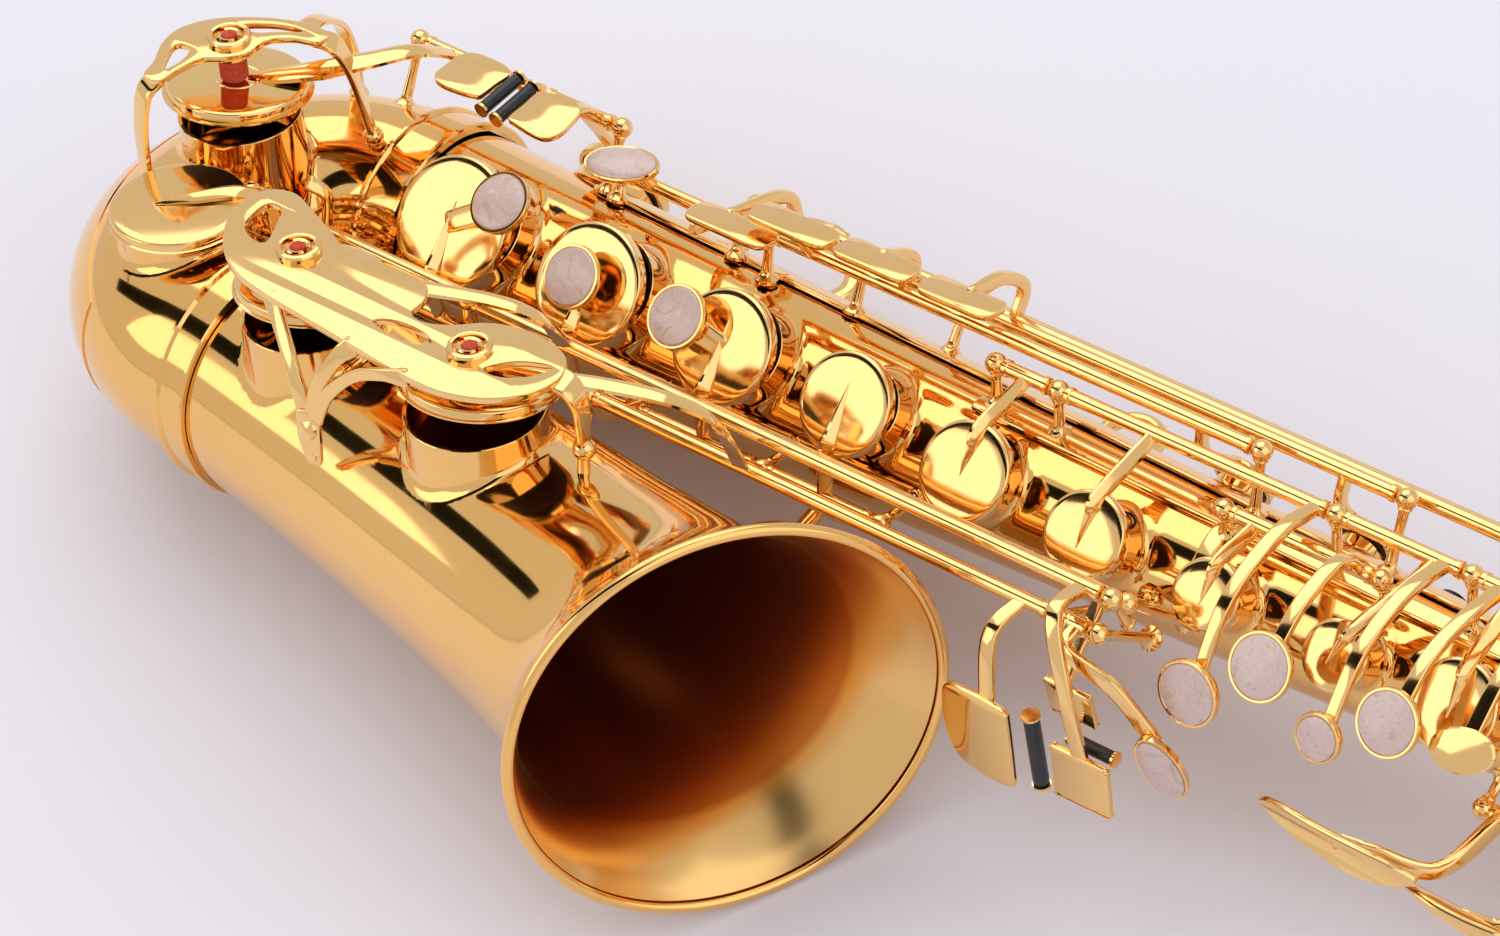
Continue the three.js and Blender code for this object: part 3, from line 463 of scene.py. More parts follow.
def bell_inside_painted_shade_material():
    """Inside of the bell with painted shade: the flare's pale gold runs through a painted orange edge into
    painted deep red-brown shade down the throat.
    """
    m, nodes, links, b = new_material("bell_inside")
    co = coords_of(nodes)
    depth = nodes.new("ShaderNodeAttribute")
    depth.attribute_name = "painted_shade_depth"
    share = nodes.new("ShaderNodeMapRange")
    share.inputs["From Min"].default_value = -6.0
    share.inputs["From Max"].default_value = 30.0
    links.new(depth.outputs["Fac"], share.inputs["Value"])
    # painted shade: the colour darkens from pale gold through orange to deep red-brown with depth below the
    # throat edge
    tone = ramp(nodes, links, share.outputs["Result"],
                [(0.0, (0.93, 0.57, 0.21)), (0.13, (0.85, 0.42, 0.10)), (0.19, (0.62, 0.22, 0.04)),
                                                         (1.0, (0.52, 0.15, 0.028))])
    drift = noise(nodes, links, 12.0, 3.0, 0.5, 0.2, co)
    mix = nodes.new("ShaderNodeMix")
    mix.data_type = "RGBA"
    mix.blend_type = "MULTIPLY"
    mix.inputs["Factor"].default_value = 0.25
    links.new(tone.outputs["Color"], mix.inputs["A"])
    links.new(ramp(nodes, links, drift.outputs["Fac"],
                   [(0.3, (0.8, 0.76, 0.7)), (0.7, (1.0, 1.0, 1.0))]).outputs["Color"], mix.inputs["B"])
    links.new(mix.outputs["Result"], b.inputs["Base Color"])
    links.new(ramp(nodes, links, share.outputs["Result"], [(0.0, (0.24,)), (0.2, (0.33,))]).outputs["Color"],
              b.inputs["Roughness"])
    b.inputs["Metallic"].default_value = 1.0
    b.inputs["Coat Weight"].default_value = 0.1
    b.inputs["Coat Roughness"].default_value = 0.2
    b.inputs["Coat IOR"].default_value = 1.5
    return m


def pearl_material():
    m, nodes, links, b = new_material("mother_of_pearl")
    co = coords_of(nodes)
    swirl = noise(nodes, links, 130.0, 5.0, 0.6, 2.2, co)
    colour = ramp(nodes, links, swirl.outputs["Fac"],
                  [(0.3, (0.50, 0.34, 0.27)), (0.48, (0.66, 0.49, 0.43)), (0.6, (0.60, 0.42, 0.38)),
                   (0.75, (0.76, 0.63, 0.55))])
    links.new(colour.outputs["Color"], b.inputs["Base Color"])
    b.inputs["Roughness"].default_value = 0.3
    b.inputs["Coat Weight"].default_value = 0.6
    b.inputs["Coat Roughness"].default_value = 0.08
    b.inputs["Specular IOR Level"].default_value = 0.6
    bump(nodes, links, b, swirl.outputs["Fac"], 0.08, 0.0005)
    return m


def dark_plastic(name, tone, rough, scale):
    m, nodes, links, b = new_material(name)
    co = coords_of(nodes)
    t = noise(nodes, links, scale, 4.0, 0.6, 0.0, co)
    colour = ramp(nodes, links, t.outputs["Fac"],
                  [(0.3, tuple(c * 0.6 for c in tone)), (0.7, tuple(c * 1.5 for c in tone))])
    links.new(colour.outputs["Color"], b.inputs["Base Color"])
    links.new(spread(nodes, links, t.outputs["Fac"], rough * 0.7, rough * 1.4), b.inputs["Roughness"])
    bump(nodes, links, b, t.outputs["Fac"], 0.06, 0.0003)
    return m


def soft_material(name, low, high, scale, rough, depth):
    """Felt, leather, cork or cane by scale and depth."""
    m, nodes, links, b = new_material(name)
    co = coords_of(nodes)
    t = noise(nodes, links, scale, 6.0, 0.7, 0.2, co)
    links.new(ramp(nodes, links, t.outputs["Fac"], [(0.32, low), (0.68, high)]).outputs["Color"],
              b.inputs["Base Color"])
    b.inputs["Roughness"].default_value = rough
    bump(nodes, links, b, t.outputs["Fac"], 0.6, depth)
    return m


def grain_material(name, low, high):
    m, nodes, links, b = new_material(name)
    co = coords_of(nodes)
    mapping = nodes.new("ShaderNodeMapping")
    mapping.inputs["Scale"].default_value = (700.0, 20.0, 700.0)
    links.new(co, mapping.inputs["Vector"])
    t = noise(nodes, links, 1.0, 5.0, 0.6, 0.3, mapping.outputs["Vector"])
    links.new(ramp(nodes, links, t.outputs["Fac"], [(0.35, low), (0.65, high)]).outputs["Color"],
              b.inputs["Base Color"])
    b.inputs["Roughness"].default_value = 0.55
    bump(nodes, links, b, t.outputs["Fac"], 0.3, 0.0002)
    return m


MATERIAL = {
    "lacquer": lacquer("lacquered_brass", (0.97, 0.575, 0.19), (0.94, 0.53, 0.155), 0.07, 0.02),
    "keywork": lacquer("lacquered_keywork", (0.98, 0.64, 0.25), (0.95, 0.585, 0.21), 0.09, 0.02),
    "inside": bell_inside_painted_shade_material(),
    "pearl": pearl_material(),
    "roller": dark_plastic("black_roller", (0.012, 0.012, 0.014), 0.28, 300.0),
    "ebonite": dark_plastic("ebonite", (0.008, 0.008, 0.008), 0.22, 220.0),
    "steel": lacquer("blued_steel", (0.05, 0.055, 0.075), (0.03, 0.03, 0.045), 0.25, 0.01),
    "felt": soft_material("red_felt", (0.45, 0.035, 0.012), (0.72, 0.10, 0.04), 900.0, 0.95, 0.0006),
    "leather": soft_material("pad_leather", (0.020, 0.008, 0.004), (0.05, 0.020, 0.010), 500.0, 0.6, 0.0003),
    "cork": soft_material("cork", (0.32, 0.17, 0.08), (0.62, 0.40, 0.22), 420.0, 0.85, 0.0006),
    "cane": grain_material("reed_cane", (0.55, 0.38, 0.16), (0.78, 0.60, 0.32)),
}
SLOT_OF = {"keywork": "lacquer", "steel": "lacquer", "felt": "lacquer", "leather": "lacquer"}


# ---------------------------------------------------------------- tone holes
class Hole:
    def __init__(self, foot, direction, cup, top, open_):
        self.foot, self.dir = arr(foot), arr(direction)
        self.cup, self.top, self.open = cup, top, open_
        self.r = cup - 2.4

    def up(self, d):
        return self.foot + self.dir * d

    @property
    def pad(self):
        return self.up(self.top + GAP)

    @property
    def crown(self):
        return self.up(self.top + GAP + 4)


def body_hole(x, phi, cup, lift, open_):
    return Hole(at(x, phi, 0), at(0, phi, 1), cup, body_r(x) + lift, open_)


HOLES = {
    "low_eb": body_hole(38, -72, 15, 4.5, 0), "d": body_hole(32, 41, 18.9, 8, 5),
    "e": body_hole(81, 41.5, 17.4, 8, 4.6), "f": body_hole(128, 42, 15.9, 8, 4.2),
    "fsharp": body_hole(170, 43, 14.3, 8, 4), "gsharp": body_hole(209, 50, 13.8, 8, 0),
    "g": body_hole(251, 56, 12.2, 8, 3.6), "a": body_hole(290, 58, 10, 8, 3.4),
    "bis": body_hole(330, 58, 9.5, 8, 3.2), "b": body_hole(365, 57, 12.5, 7, 3.2),
    "c": body_hole(395, 40, 8.5, 7, 3), "side_bb": body_hole(262, -68, 9, 4.5, 0),
    "side_c": body_hole(302, -70, 8.5, 4.5, 0), "high_e": body_hole(362, -75, 7.5, 4.5, 0),
    "high_fsharp": body_hole(392, -80, 7, 4.5, 0), "palm_d": body_hole(407, 151, 7.8, 4.8, 0),
    "palm_eb": body_hole(436, 172, 7.5, 4.5, 0), "palm_f": body_hole(465, 192, 6.6, 4.5, 0),
    "octave_vent": body_hole(394, -150, 4.6, 4.5, 0),
    "low_c": Hole((-42, -36, 0), (0, 0, 1), 20, 43, 6),
        "low_csharp": Hole((-27, -76, 0), (0, 0, 1), 19.5, 36.6, 0),
    "low_b": Hole((38, -92, 0), (0, 0, 1), 21, 40.5, 6),
        "low_bb": Hole((105, -99, 0), (0, 0, 1), 21.5, 42.5, 6),
}


def line(phi, rho):
    return at(0, phi, rho)[1:]


A1, A3, A3B = arr([-39, 4]), line(-2, 36), line(13, 30)
L1, L2, L3, CS, L5 = arr([-51, 28]), arr([-57, 20.5]), arr([-45, 22.5]), arr([-52, 32]), arr([20, 42])
S0, S1, S2, S3, S4 = line(-21.5, 35.5), line(-12, 40), line(-24, 40), line(-35, 39.5), line(-46, 39.5)
PD, PE, PF, OV, OB = line(118, 27), line(140, 27), line(160, 26), line(-135, 27), line(-174, 24)


def swing_angle(l, h):
    """The angle that opens a key by its pad's lift, as in the CAD."""
    def lever(c):
        return -(c[2] - l[1]) * h.dir[1] + (c[1] - l[0]) * h.dir[2]
    return np.sign(lever(h.crown)) * h.open * 180 / pi / abs(lever(h.pad))


def p3(x, l):
    return arr([x, l[0], l[1]])


def cup_shape(h, flange=0.0):
    """Pad cup: rim, straight wall, rounded shoulder and a shallow dome with a turned step."""
    r = h.cup
    k = min(1.0, r / 10)
    prof = [(0.05, 0.95), (r - 1.5, 0.95), (r - 1.3, 0.35), (r - 0.2, 0.35), (r + flange, 0.55),
            (r + flange, 1.0),
            (r, 1.25), (r, 3.0), (r - 0.12, 3.35), (r - 0.42, 3.62), (r - 0.95 * k, 3.8), (r * 0.86, 3.95),
            (r * 0.6, 4.22), (r * 0.3, 4.38), (0.05, 4.45)]
    return lathe(prof, h.pad, h.dir, 64 if r > 12 else 48)


def pad_shape(h):
    r = h.cup - 1.6
    return lathe([(0.05, 0.12), (r * 0.5, 0.05), (r * 0.9, 0.1), (r - 0.25, 0.3), (r, 0.9), (r - 0.2, 1.4),
                  (0.05, 1.4)],
                 h.pad, h.dir, 48)


def spike(start, h, tip=0.3, width=2.7):
    """A ridged arm from its hinge over the rim to a point just past the middle of the cup."""
    c = h.up(h.top + GAP + 4.35)
    start = arr(start)
    flat = start - c
    flat -= h.dir * flat.dot(h.dir)
    away = unit(flat)
    rim = h.up(h.top + GAP + 4.5) + away * h.cup * 0.93
    mid = h.up(h.top + GAP + 4.9) + away * h.cup * 0.45
    end = c - away * h.cup * tip
    sizes = [(2.1, 1.6), (width, 1.9), (width * 0.72, 1.9 * 0.8), (0.25, 0.25)]
    return sweep([start, rim, mid, end], sizes, "ridge", up=h.dir, per=8, blunt=False)


def hinge_tube(l, x0, x1, r=2.1):
    """A hinge tube with turned collars at its ends."""
    c, d = p3(x0, l), x1 - x0
    k = min(1.5, d * 0.12)
    prof = [(0.05, 0), (r - 0.1, 0), (r + 0.35, 0.25), (r + 0.35, k), (r, k + 0.25), (r, d - k - 0.25),
            (r + 0.35, d - k), (r + 0.35, d - 0.25), (r - 0.1, d), (0.05, d)]
    return lathe(prof, c, (1, 0, 0), 18)


def dish(c, n, r, along=(1, 0, 0), a=None):
    steps = [(r * 0.9, -1.3), (r * 0.35, -1.3), (0.4, -0.6), (0, 0.2), (0, 1.7), (0.2, 2.0), (0.75, 2.0),
             (0.95, 1.8),
             (0.95, 1.2), (r * 0.95, 1.2)]
    return oval(c, n, along, (a or r) + 1.4, r + 1.4, steps)


def pearl_shape(c, n, r, along=(1, 0, 0), a=None):
    steps = [(r * 0.96, 1.25), (0, 1.25), (0, 1.9), (0.35, 2.3), (r * 0.3, 2.62), (r * 0.6, 2.85),
             (r * 0.98, 2.95)]
    return oval(c, n, along, (a or r) + 0.4, r + 0.4, steps)


def ball_head(c, r=3.0):
    """The turned head of a post with its pivot screw."""
    prof = [(0.05, -r), (r * 0.35, -r * 0.95), (r * 0.68, -r * 0.75), (r * 0.92, -r * 0.4), (r, 0),
            (r * 0.92, r * 0.4),
            (r * 0.68, r * 0.75), (r * 0.35, r * 0.95), (0.05, r)]
    return lathe(prof, c, (1, 0, 0), 20)


def post_shape(foot, head, r=1.6, base=3.4, ball=3.0):
    """A hinge post: flared foot, tapering stem, ball head with a small finial."""
    foot, head = arr(foot), arr(head)
    d = head - foot
    length = np.linalg.norm(d)
    prof = [(0.05, -0.4), (base, -0.4), (base, 0.5), (base * 0.8, 1.0), (r * 1.15, 2.0), (r, 3.2),
            (r * 0.85, length * 0.6),
            (r * 0.95, length - ball * 1.2), (r * 1.25, length - ball * 0.9), (r, length - ball * 0.4),
                (0.05, length)]
    prof = [(a, min(b, length)) for a, b in prof]
    return [lathe(prof, foot, d, 16), ball_head(head, ball)]


def radial_post(x, l, lift=1.2):
    k = (body_r(x) + lift) / hypot(*l)
    return post_shape([x, l[0] * k, l[1] * k], p3(x, l))


def angle_of(l):
    return degrees(atan2(-l[0], l[1]))


def rib_shape(x0, x1, phi, half=3.0):
    pts = [at(x, phi, body_r(x) + GAP + 0.7) for x in np.linspace(x0, x1, 6)]
    return sweep(pts, [(half, 0.8)] * 6, "strap", up=at(0, phi, 1))


def strap_foot(x, phi0, phi1, half=2.2):
    steps = max(3, int(abs(phi1 - phi0) / 9) + 1)
    pts = [at(x, lerp(phi0, phi1, i / steps), body_r(x) + 1.1) for i in range(steps + 1)]
    ups = [at(0, lerp(phi0, phi1, i / steps), 1) for i in range(steps + 1)]
    return sweep(pts, [(half, 0.9)] * (steps + 1), "strap", up=ups, per=3)


# ---------------------------------------------------------------- tubes: body, bow, bell
def ring_of(s, n):
    t, r, c = radians(s["tilt"]), s["r"], arr(s["c"])
    a = np.linspace(0, 2 * pi, n, endpoint=False)
    side = np.cos(a) * r
    return c + np.stack([side * sin(t), side * cos(t), np.sin(a) * r], 1)


def section(c, tilt, r):
    return {"c": c, "tilt": tilt, "r": r}


def body_sections(grow, x0, x1, neck_r):
    xs = list(np.arange(x0, 478, 4.0)) + [478]
    out = [section((x, 0, 0), 0, body_r(x) + grow) for x in xs]
    out += [section((x, 0, 0), 0, r) for x, r in neck_r(x1)]
    return out


def receiver_outside(x1):
    return [(481, 14.6), (484.5, 15.8), (486, 15.8), (486.4, 16.5), (488.4, 16.5), (488.8, 15.8),
            (507.6, 15.8),
            (508, 16.6), (x1 - 0.3, 16.6), (x1, 16.3)]


def receiver_inside(x1):
    return [(486, 12.75), (487, 13.6), (x1, 13.6)]


def bow_section(t, grow):
    a = pi * t
    return section((BOW_X - BOW_R * sin(a), -BOW_R + BOW_R * cos(a), 0), -180 * t,
                   lerp(BOW_R0, BOW_R1, t) + grow)


def bow_sections(grow, over, steps=56):
    out = [section((-6 + over, 0, 0), 0, BOW_R0 + grow), section((-9, 0, 0), 0, BOW_R0 + grow)]
    out += [bow_section(i / steps, grow) for i in range(steps + 1)]
    return out + [section((-4, -80.3, 0), -178.5, BOW_R1 + grow),
                  section((3.2 + over, -80.6, 0), -177, BOW_R1 + grow)]


BELL_R = [(0, 33.6), (0.2, 34.6), (0.4, 36.1), (0.55, 37.5), (0.68, 39.4), (0.78, 41.9), (0.84, 44.1),
          (0.88, 46.3),
          (0.91, 48.7), (0.94, 51.8), (0.965, 55.0), (0.985, 58.2), (1.0, 60.5)]
BELL_PATH = curve([arr([share, r, 0]) for share, r in BELL_R], 10)[0]


def bell_section(t, grow):
    r = float(np.interp(t, BELL_PATH[:, 0], BELL_PATH[:, 1]))
    s = 0 if t < 0.5 else ((t - 0.5) / 0.5) ** 1.6
    return section(
        (lerp(BELL0["x"], RIM["x"], t), lerp(BELL0["y"], RIM["y"], t) + 7 * t * (1 - t),
         lerp(BELL0["z"], RIM["z"], t)),
        lerp(BELL0["tilt"] + 2 * t, RIM["tilt"], s), r + grow)


def step_section(s, d, r):
    t = radians(s["tilt"])
    c = arr(s["c"]) + arr([d * cos(t), -d * sin(t), 0])
    return section(c, s["tilt"], r)


def bell_sections(grow, before, after):
    ts = list(np.linspace(0, 0.8, 60)) + list(np.linspace(0.81, 1, 34))
    out = [bell_section(t, grow) for t in ts]
    if before:
        out.insert(0, step_section(out[0], -before, out[0]["r"]))
    if after:
        out.append(step_section(out[-1], after, out[-1]["r"] + after))
    return out


def tube_skin(sections, n):
    return skin([ring_of(s, n) for s in sections])


def tree_of(geo):
    return BVHTree.FromPolygons([tuple(p) for p in geo[0]], geo[1])


def skirt(h, tree, fillet=2.6, n=48):
    """The drawn foot of a chimney: a small concave blend that follows the tube's surface."""
    x, y, z = basis(h.dir, (1, 0, 0))
    angles = np.linspace(0, 2 * pi, n, endpoint=False)
    steps = [(1 - cos(k), 1 - sin(k)) for k in np.linspace(0, pi / 2, 6)]
    rings = []
    shape = [(h.r + fillet * a, fillet * b) for a, b in steps] + [(h.r + fillet, -0.8), (h.r - 0.5, -0.8),
        (h.r - 0.5, fillet)]
    for rr, rise in shape:
        ring = []
        for k in angles:
            p = h.foot + (x * cos(k) + y * sin(k)) * rr
            hit = tree.ray_cast(Vector(p + z * 90), Vector(-z))[0]
            ring.append(p + z * ((arr(hit) - p).dot(z) + rise))
        rings.append(np.array(ring))
    return skin(rings, caps=False, close=True)


def chimney(h, start):
    return rod(h.up(start), h.up(h.top), h.r, n=48, bevel=0.2)


def chimney_bore(h, start):
    return rod(h.up(start), h.up(h.top + 2), h.r - WALL, n=44, bevel=0.05)


def horn_tube(name, outside, inside, holes, start, extra=()):
    """A tube with its chimneys: outside joined with chimneys and skirts, then hollowed."""
    outer = mesh_object(name, outside)
    tree = tree_of(outside)
    boolean(outer, merge([chimney(h, start) for h in holes]), "UNION")
    for group in (holes[0::2], holes[1::2]):
        boolean(outer, merge([skirt(h, tree) for h in group]), "UNION")
    boolean(outer, inside, "DIFFERENCE")
    boolean(outer, merge([chimney_bore(h, start) for h in holes]), "DIFFERENCE")
    for geo, operation in extra:
        boolean(outer, geo, operation)
    bm = bmesh.new()
    bm.from_mesh(outer.data)
    bmesh.ops.remove_doubles(bm, verts=bm.verts, dist=1e-4)
    finish_mesh(bm, outer.data, 26)
    return outer


def block(centre, normal, along, a, b, h):
    """A small block with softened edges."""
    return sheet_plate([(-a, -b), (a, -b), (a, b), (-a, b)], -h / 2, h / 2, bevel=min(0.4, h * 0.3),
                       place=on_plane(centre, normal, along), smooth=0)


on_body = [h for h in HOLES.values() if not h.foot[1] and not h.foot[2]]
lugs = block((498, 18, 0), (1, 0, 0), (0, 1, 0), 5.5, 4, 14)
body = horn_tube(
    "body_tube_shell",
    tube_skin(body_sections(0, -4, 512, receiver_outside), 96),
    tube_skin(body_sections(-WALL, -5, 513, receiver_inside), 90),
    on_body, 5,
    [(lugs, "UNION"), (rod((480, 0, 0), (514, 0, 0), 13.6, n=60), "DIFFERENCE"),
     (block((505, 19, 0), (1, 0, 0), (0, 1, 0), 9, 0.7, 36), "DIFFERENCE")])
place(body, "horn", MATERIAL["lacquer"], "lacquer", ["body_tube"])
SINGLE_POSTS = [(373, PD), (419, PD), (417, PE), (449, PE), (447, PF), (475, PF), (349, OV), (478, OV),
                (375, OB), (403, OB)]
piece("body_tube_posts", "horn", [radial_post(x, l, -0.2) for x, l in SINGLE_POSTS], "keywork")

bow = horn_tube("bow_shell", tube_skin(bow_sections(-0.5, 0), 96),
                tube_skin(bow_sections(-WALL - 0.5, 2), 90),
                [HOLES["low_c"], HOLES["low_csharp"]], 12)
place(bow, "horn", MATERIAL["lacquer"], "lacquer", ["bow"])
piece("bow_posts", "horn", [
    post_shape((-20, -45, 13), p3(-20, L3)),
    post_shape((-24, -54, 18), p3(-24, CS)), post_shape((-4, -56, 22), p3(-4, CS)),
    post_shape(at(-25, -24, 27), p3(-25, L5))], "keywork")


def bow_guard():
    """The wear plate soldered over the outside of the bow."""
    rows, cols = 30, 16
    outer, inner = [], []
    for i in range(rows + 1):
        t = lerp(0.2, 0.86, i / rows)
        half = 58 * (sin(pi * (0.1 + 0.8 * i / rows)) ** 0.55)
        s_out, s_in = bow_section(t, -0.1), bow_section(t, -0.9)
        for s, store in ((s_out, outer), (s_in, inner)):
            c, tilt, r = arr(s["c"]), radians(s["tilt"]), s["r"]
            row = []
            for k in range(cols + 1):
                b = radians(lerp(-half, half, k / cols))
                edge = 1 - 0.35 * (abs(k / cols - 0.5) * 2) ** 6
                side = cos(b) * (r if store is inner else lerp(r - 0.5, r, edge))
                row.append(c + arr([side * sin(tilt), side * cos(tilt),
                                    sin(b) * (r if store is inner else lerp(r - 0.5, r, edge))]))
            store.append(row)
    m = cols + 1
    verts = [p for row in outer for p in row] + [p for row in inner for p in row]
    n = len(outer) * m
    faces = []
    for i in range(rows):
        for k in range(cols):
            a = i * m + k
            faces.append((a, a + 1, a + m + 1, a + m))
            faces.append((n + a, n + a + m, n + a + m + 1, n + a + 1))
    rim = [k for k in range(m)] + [i * m + cols for i in range(1, rows + 1)]
    rim += [rows * m + k for k in range(cols - 1, -1, -1)] + [i * m for i in range(rows - 1, 0, -1)]
    for a, b in zip(rim, rim[1:] + rim[:1]):
        faces.append((b, a, n + a, n + b))
    return np.array(verts), faces


piece("bow_wear_plate", "horn", bow_guard(), "lacquer")

RIM_NORMAL = arr([cos(radians(RIM["tilt"])), -sin(radians(RIM["tilt"])), 0])
# where the flare turns into the bell tube
THROAT = float(RIM_NORMAL.dot(arr([RIM["x"], RIM["y"], RIM["z"]]))) - 21.0
bell = horn_tube("bell_shell", tube_skin(bell_sections(0, 0, 0), 120),
                 tube_skin(bell_sections(-WALL, 2, 2), 112),
                 [HOLES["low_b"], HOLES["low_bb"]], 20)
# mm below the throat edge, along the rim's axis; it drives the painted shade inside the bell
depth = bell.data.attributes.new("painted_shade_depth", "FLOAT", "POINT")
for vertex in bell.data.vertices:
    depth.data[vertex.index].value = THROAT - float(RIM_NORMAL.dot(arr(vertex.co)))
# faces that look into the bell take the painted-shade inside material
inside_faces = []
for face in bell.data.polygons:
    share = (face.center.x - BELL0["x"]) / (RIM["x"] - BELL0["x"])
    middle = arr(bell_section(min(max(share, 0.0), 1.0), 0)["c"])
    if arr(face.normal).dot(unit(arr(face.center) - middle)) < -0.2:
        inside_faces.append(face.index)
place(bell, "horn", MATERIAL["lacquer"], "lacquer", ["bell"])
bell.data.materials.append(MATERIAL["inside"])
for index in inside_faces:
    bell.data.polygons[index].material_index = 1
piece("bell_rim_bead", "horn",
      torus((RIM["x"] - 0.6, RIM["y"] + 0.4, RIM["z"]), RIM_NORMAL, RIM["r"] - 1.9, 1.7, 128, 16))


def sleeve(c, tilt, inner, prof):
    axis = arr((cos(radians(tilt)), -sin(radians(tilt)), 0))
    rings = [(inner, prof[0][1])] + prof + [(inner, prof[-1][1])]
    x, y, z = basis(axis, (0, 0, 1))
    t = np.linspace(0, 2 * pi, 96, endpoint=False)
    return skin([arr(c) + np.outer(np.cos(t) * r, x) + np.outer(np.sin(t) * r, y) + z * h for r, h in rings],
                caps=False, close=True)


def band_profile(r, half, bead):
    return [(r - 0.6, -half), (r + bead - 0.5, -half), (r + bead, -half + 0.5), (r + bead, -half + 1.5),
            (r + bead - 0.5, -half + 2.0), (r, -half + 2.3), (r, half - 2.3), (r + bead - 0.5, half - 2.0),
            (r + bead, half - 1.5), (r + bead, half - 0.5), (r + bead - 0.5, half), (r - 0.6, half)]


piece("body_bow_ring_band", "horn", [
    sleeve((-3.5, 0, 0), 0, BOW_R0 + 0.4, band_profile(BOW_R0 + 1.9, 7.5, 0.9)),
    block(at(-3.5, 73, 33.2), at(0, 166, 1), (1, 0, 0), 6, 2.6, 2.2),
    block(at(-3.5, 80, 33.2), at(0, -14, 1), (1, 0, 0), 6, 2.6, 2.2),
    rod(at(-6.5, 70, 34), at(-6.5, 83, 34), 1.1), rod(at(-0.5, 70, 34), at(-0.5, 83, 34), 1.1),
    rod(at(-6.5, 68.6, 34), at(-6.5, 70.6, 34), 1.9), rod(at(-0.5, 68.6, 34), at(-0.5, 70.6, 34), 1.9),
], nodes=["body_bow_ring"])
piece("bell_bow_ring_band", "horn",
      sleeve((4.8, -80.8, 0), 6, BOW_R1 + 0.6, band_profile(BOW_R1 + 1.5, 6, 0.8)), nodes=["bell_bow_ring"])

# brace between body and bell
piece("bell_brace_ring", "horn", [
    torus((158, -48, -17), (0, 0, 1), 13, 2.3, 48, 14),
    rod((158, -27.5, -13.5), (158, -36, -15.5), 2.4), rod((158, -60, -18.5), (158, -66.0, -19.5), 2.4),
    oval((158, -25.9, -13.0), (0, -0.9, -0.44), (1, 0, 0), 11, 6.5,
         [(0.6, -0.9), (0, -0.5), (0, 0.5), (0.6, 0.9)]),
    oval((158, -66.2, -19.4), (0, 0.9, -0.4), (1, 0, 0), 11, 6.5,
         [(0.6, -0.9), (0, -0.5), (0, 0.5), (0.6, 0.9)]),
], nodes=["bell_brace"])

# ---------------------------------------------------------------- guards
GUARD_Z = 62.0
GUARD_EDGE = [(12, -80), (12.4, -92), (20, -103), (31, -110.3), (44, -113.2), (58, -114.6), (74, -116),
              (90, -117.6),
              (103, -118.4), (114, -117.6), (125, -113), (132.5, -105), (134.5, -96), (130.5, -88.5),
                  (122, -85.5),
              (112, -85.5), (103, -88.8), (96, -94.8), (89, -98.2), (83.4, -97), (82.2, -90.5), (77, -85),
                  (65.4, -85),
              (50, -86), (40.5, -82.5), (30, -78.5), (20, -75.5)]
GUARD_HOLES = [
    [(17.5, -83.5), (18.6, -92.5), (24, -96.8), (29.5, -96.6), (26.5, -89.5), (22.4, -82.8)],
    [(77.5, -105.2), (82.5, -102), (92, -101.6), (97, -104.5), (90.5, -107.2), (83, -107)],
    [(115.5, -103.5), (121, -96.5), (129.5, -93.2), (128.5, -98.5), (124, -103), (119, -105)],
]


def felt_cup(c, z):
    """The screwed cup that carries a felt bumper, with its slotted ring."""
    x, y = c
    prof = [(0.05, -3.4), (5.2, -3.4), (5.8, -3.0), (6.0, -1.4), (6.0, 1.4), (6.2, 2.4), (5.9, 3.1),
            (5.2, 3.4), (4.6, 3.2),
            (4.3, 2.4), (4.3, 1.6), (0.05, 1.6)]
    ring = [(2.2, 1.7), (2.2, 2.9), (2.7, 3.2), (3.3, 3.2), (3.7, 2.8), (3.8, 1.7)]
    t = np.linspace(0, 2 * pi, 40, endpoint=False)
    slotted = []
    for a0 in (0.35, 0.35 + pi):
        rows = []
        for a in np.linspace(a0, a0 + pi - 0.7, 18):
            rows.append(np.array([(x + r * cos(a), y + r * sin(a), z + h) for r, h in ring]))
        slotted.append(skin(rows))
    return lathe(prof, (x, y, z), (0, 0, 1), 44), slotted


def felt_plug(c, z0, z1, r):
    return lathe([(0.05, 0), (r - 0.3, 0), (r, 0.4), (r, z1 - z0 - 0.5), (r - 0.4, z1 - z0), (0.05, z1 - z0)],
                 (c[0], c[1], z0), (0, 0, 1), 28)


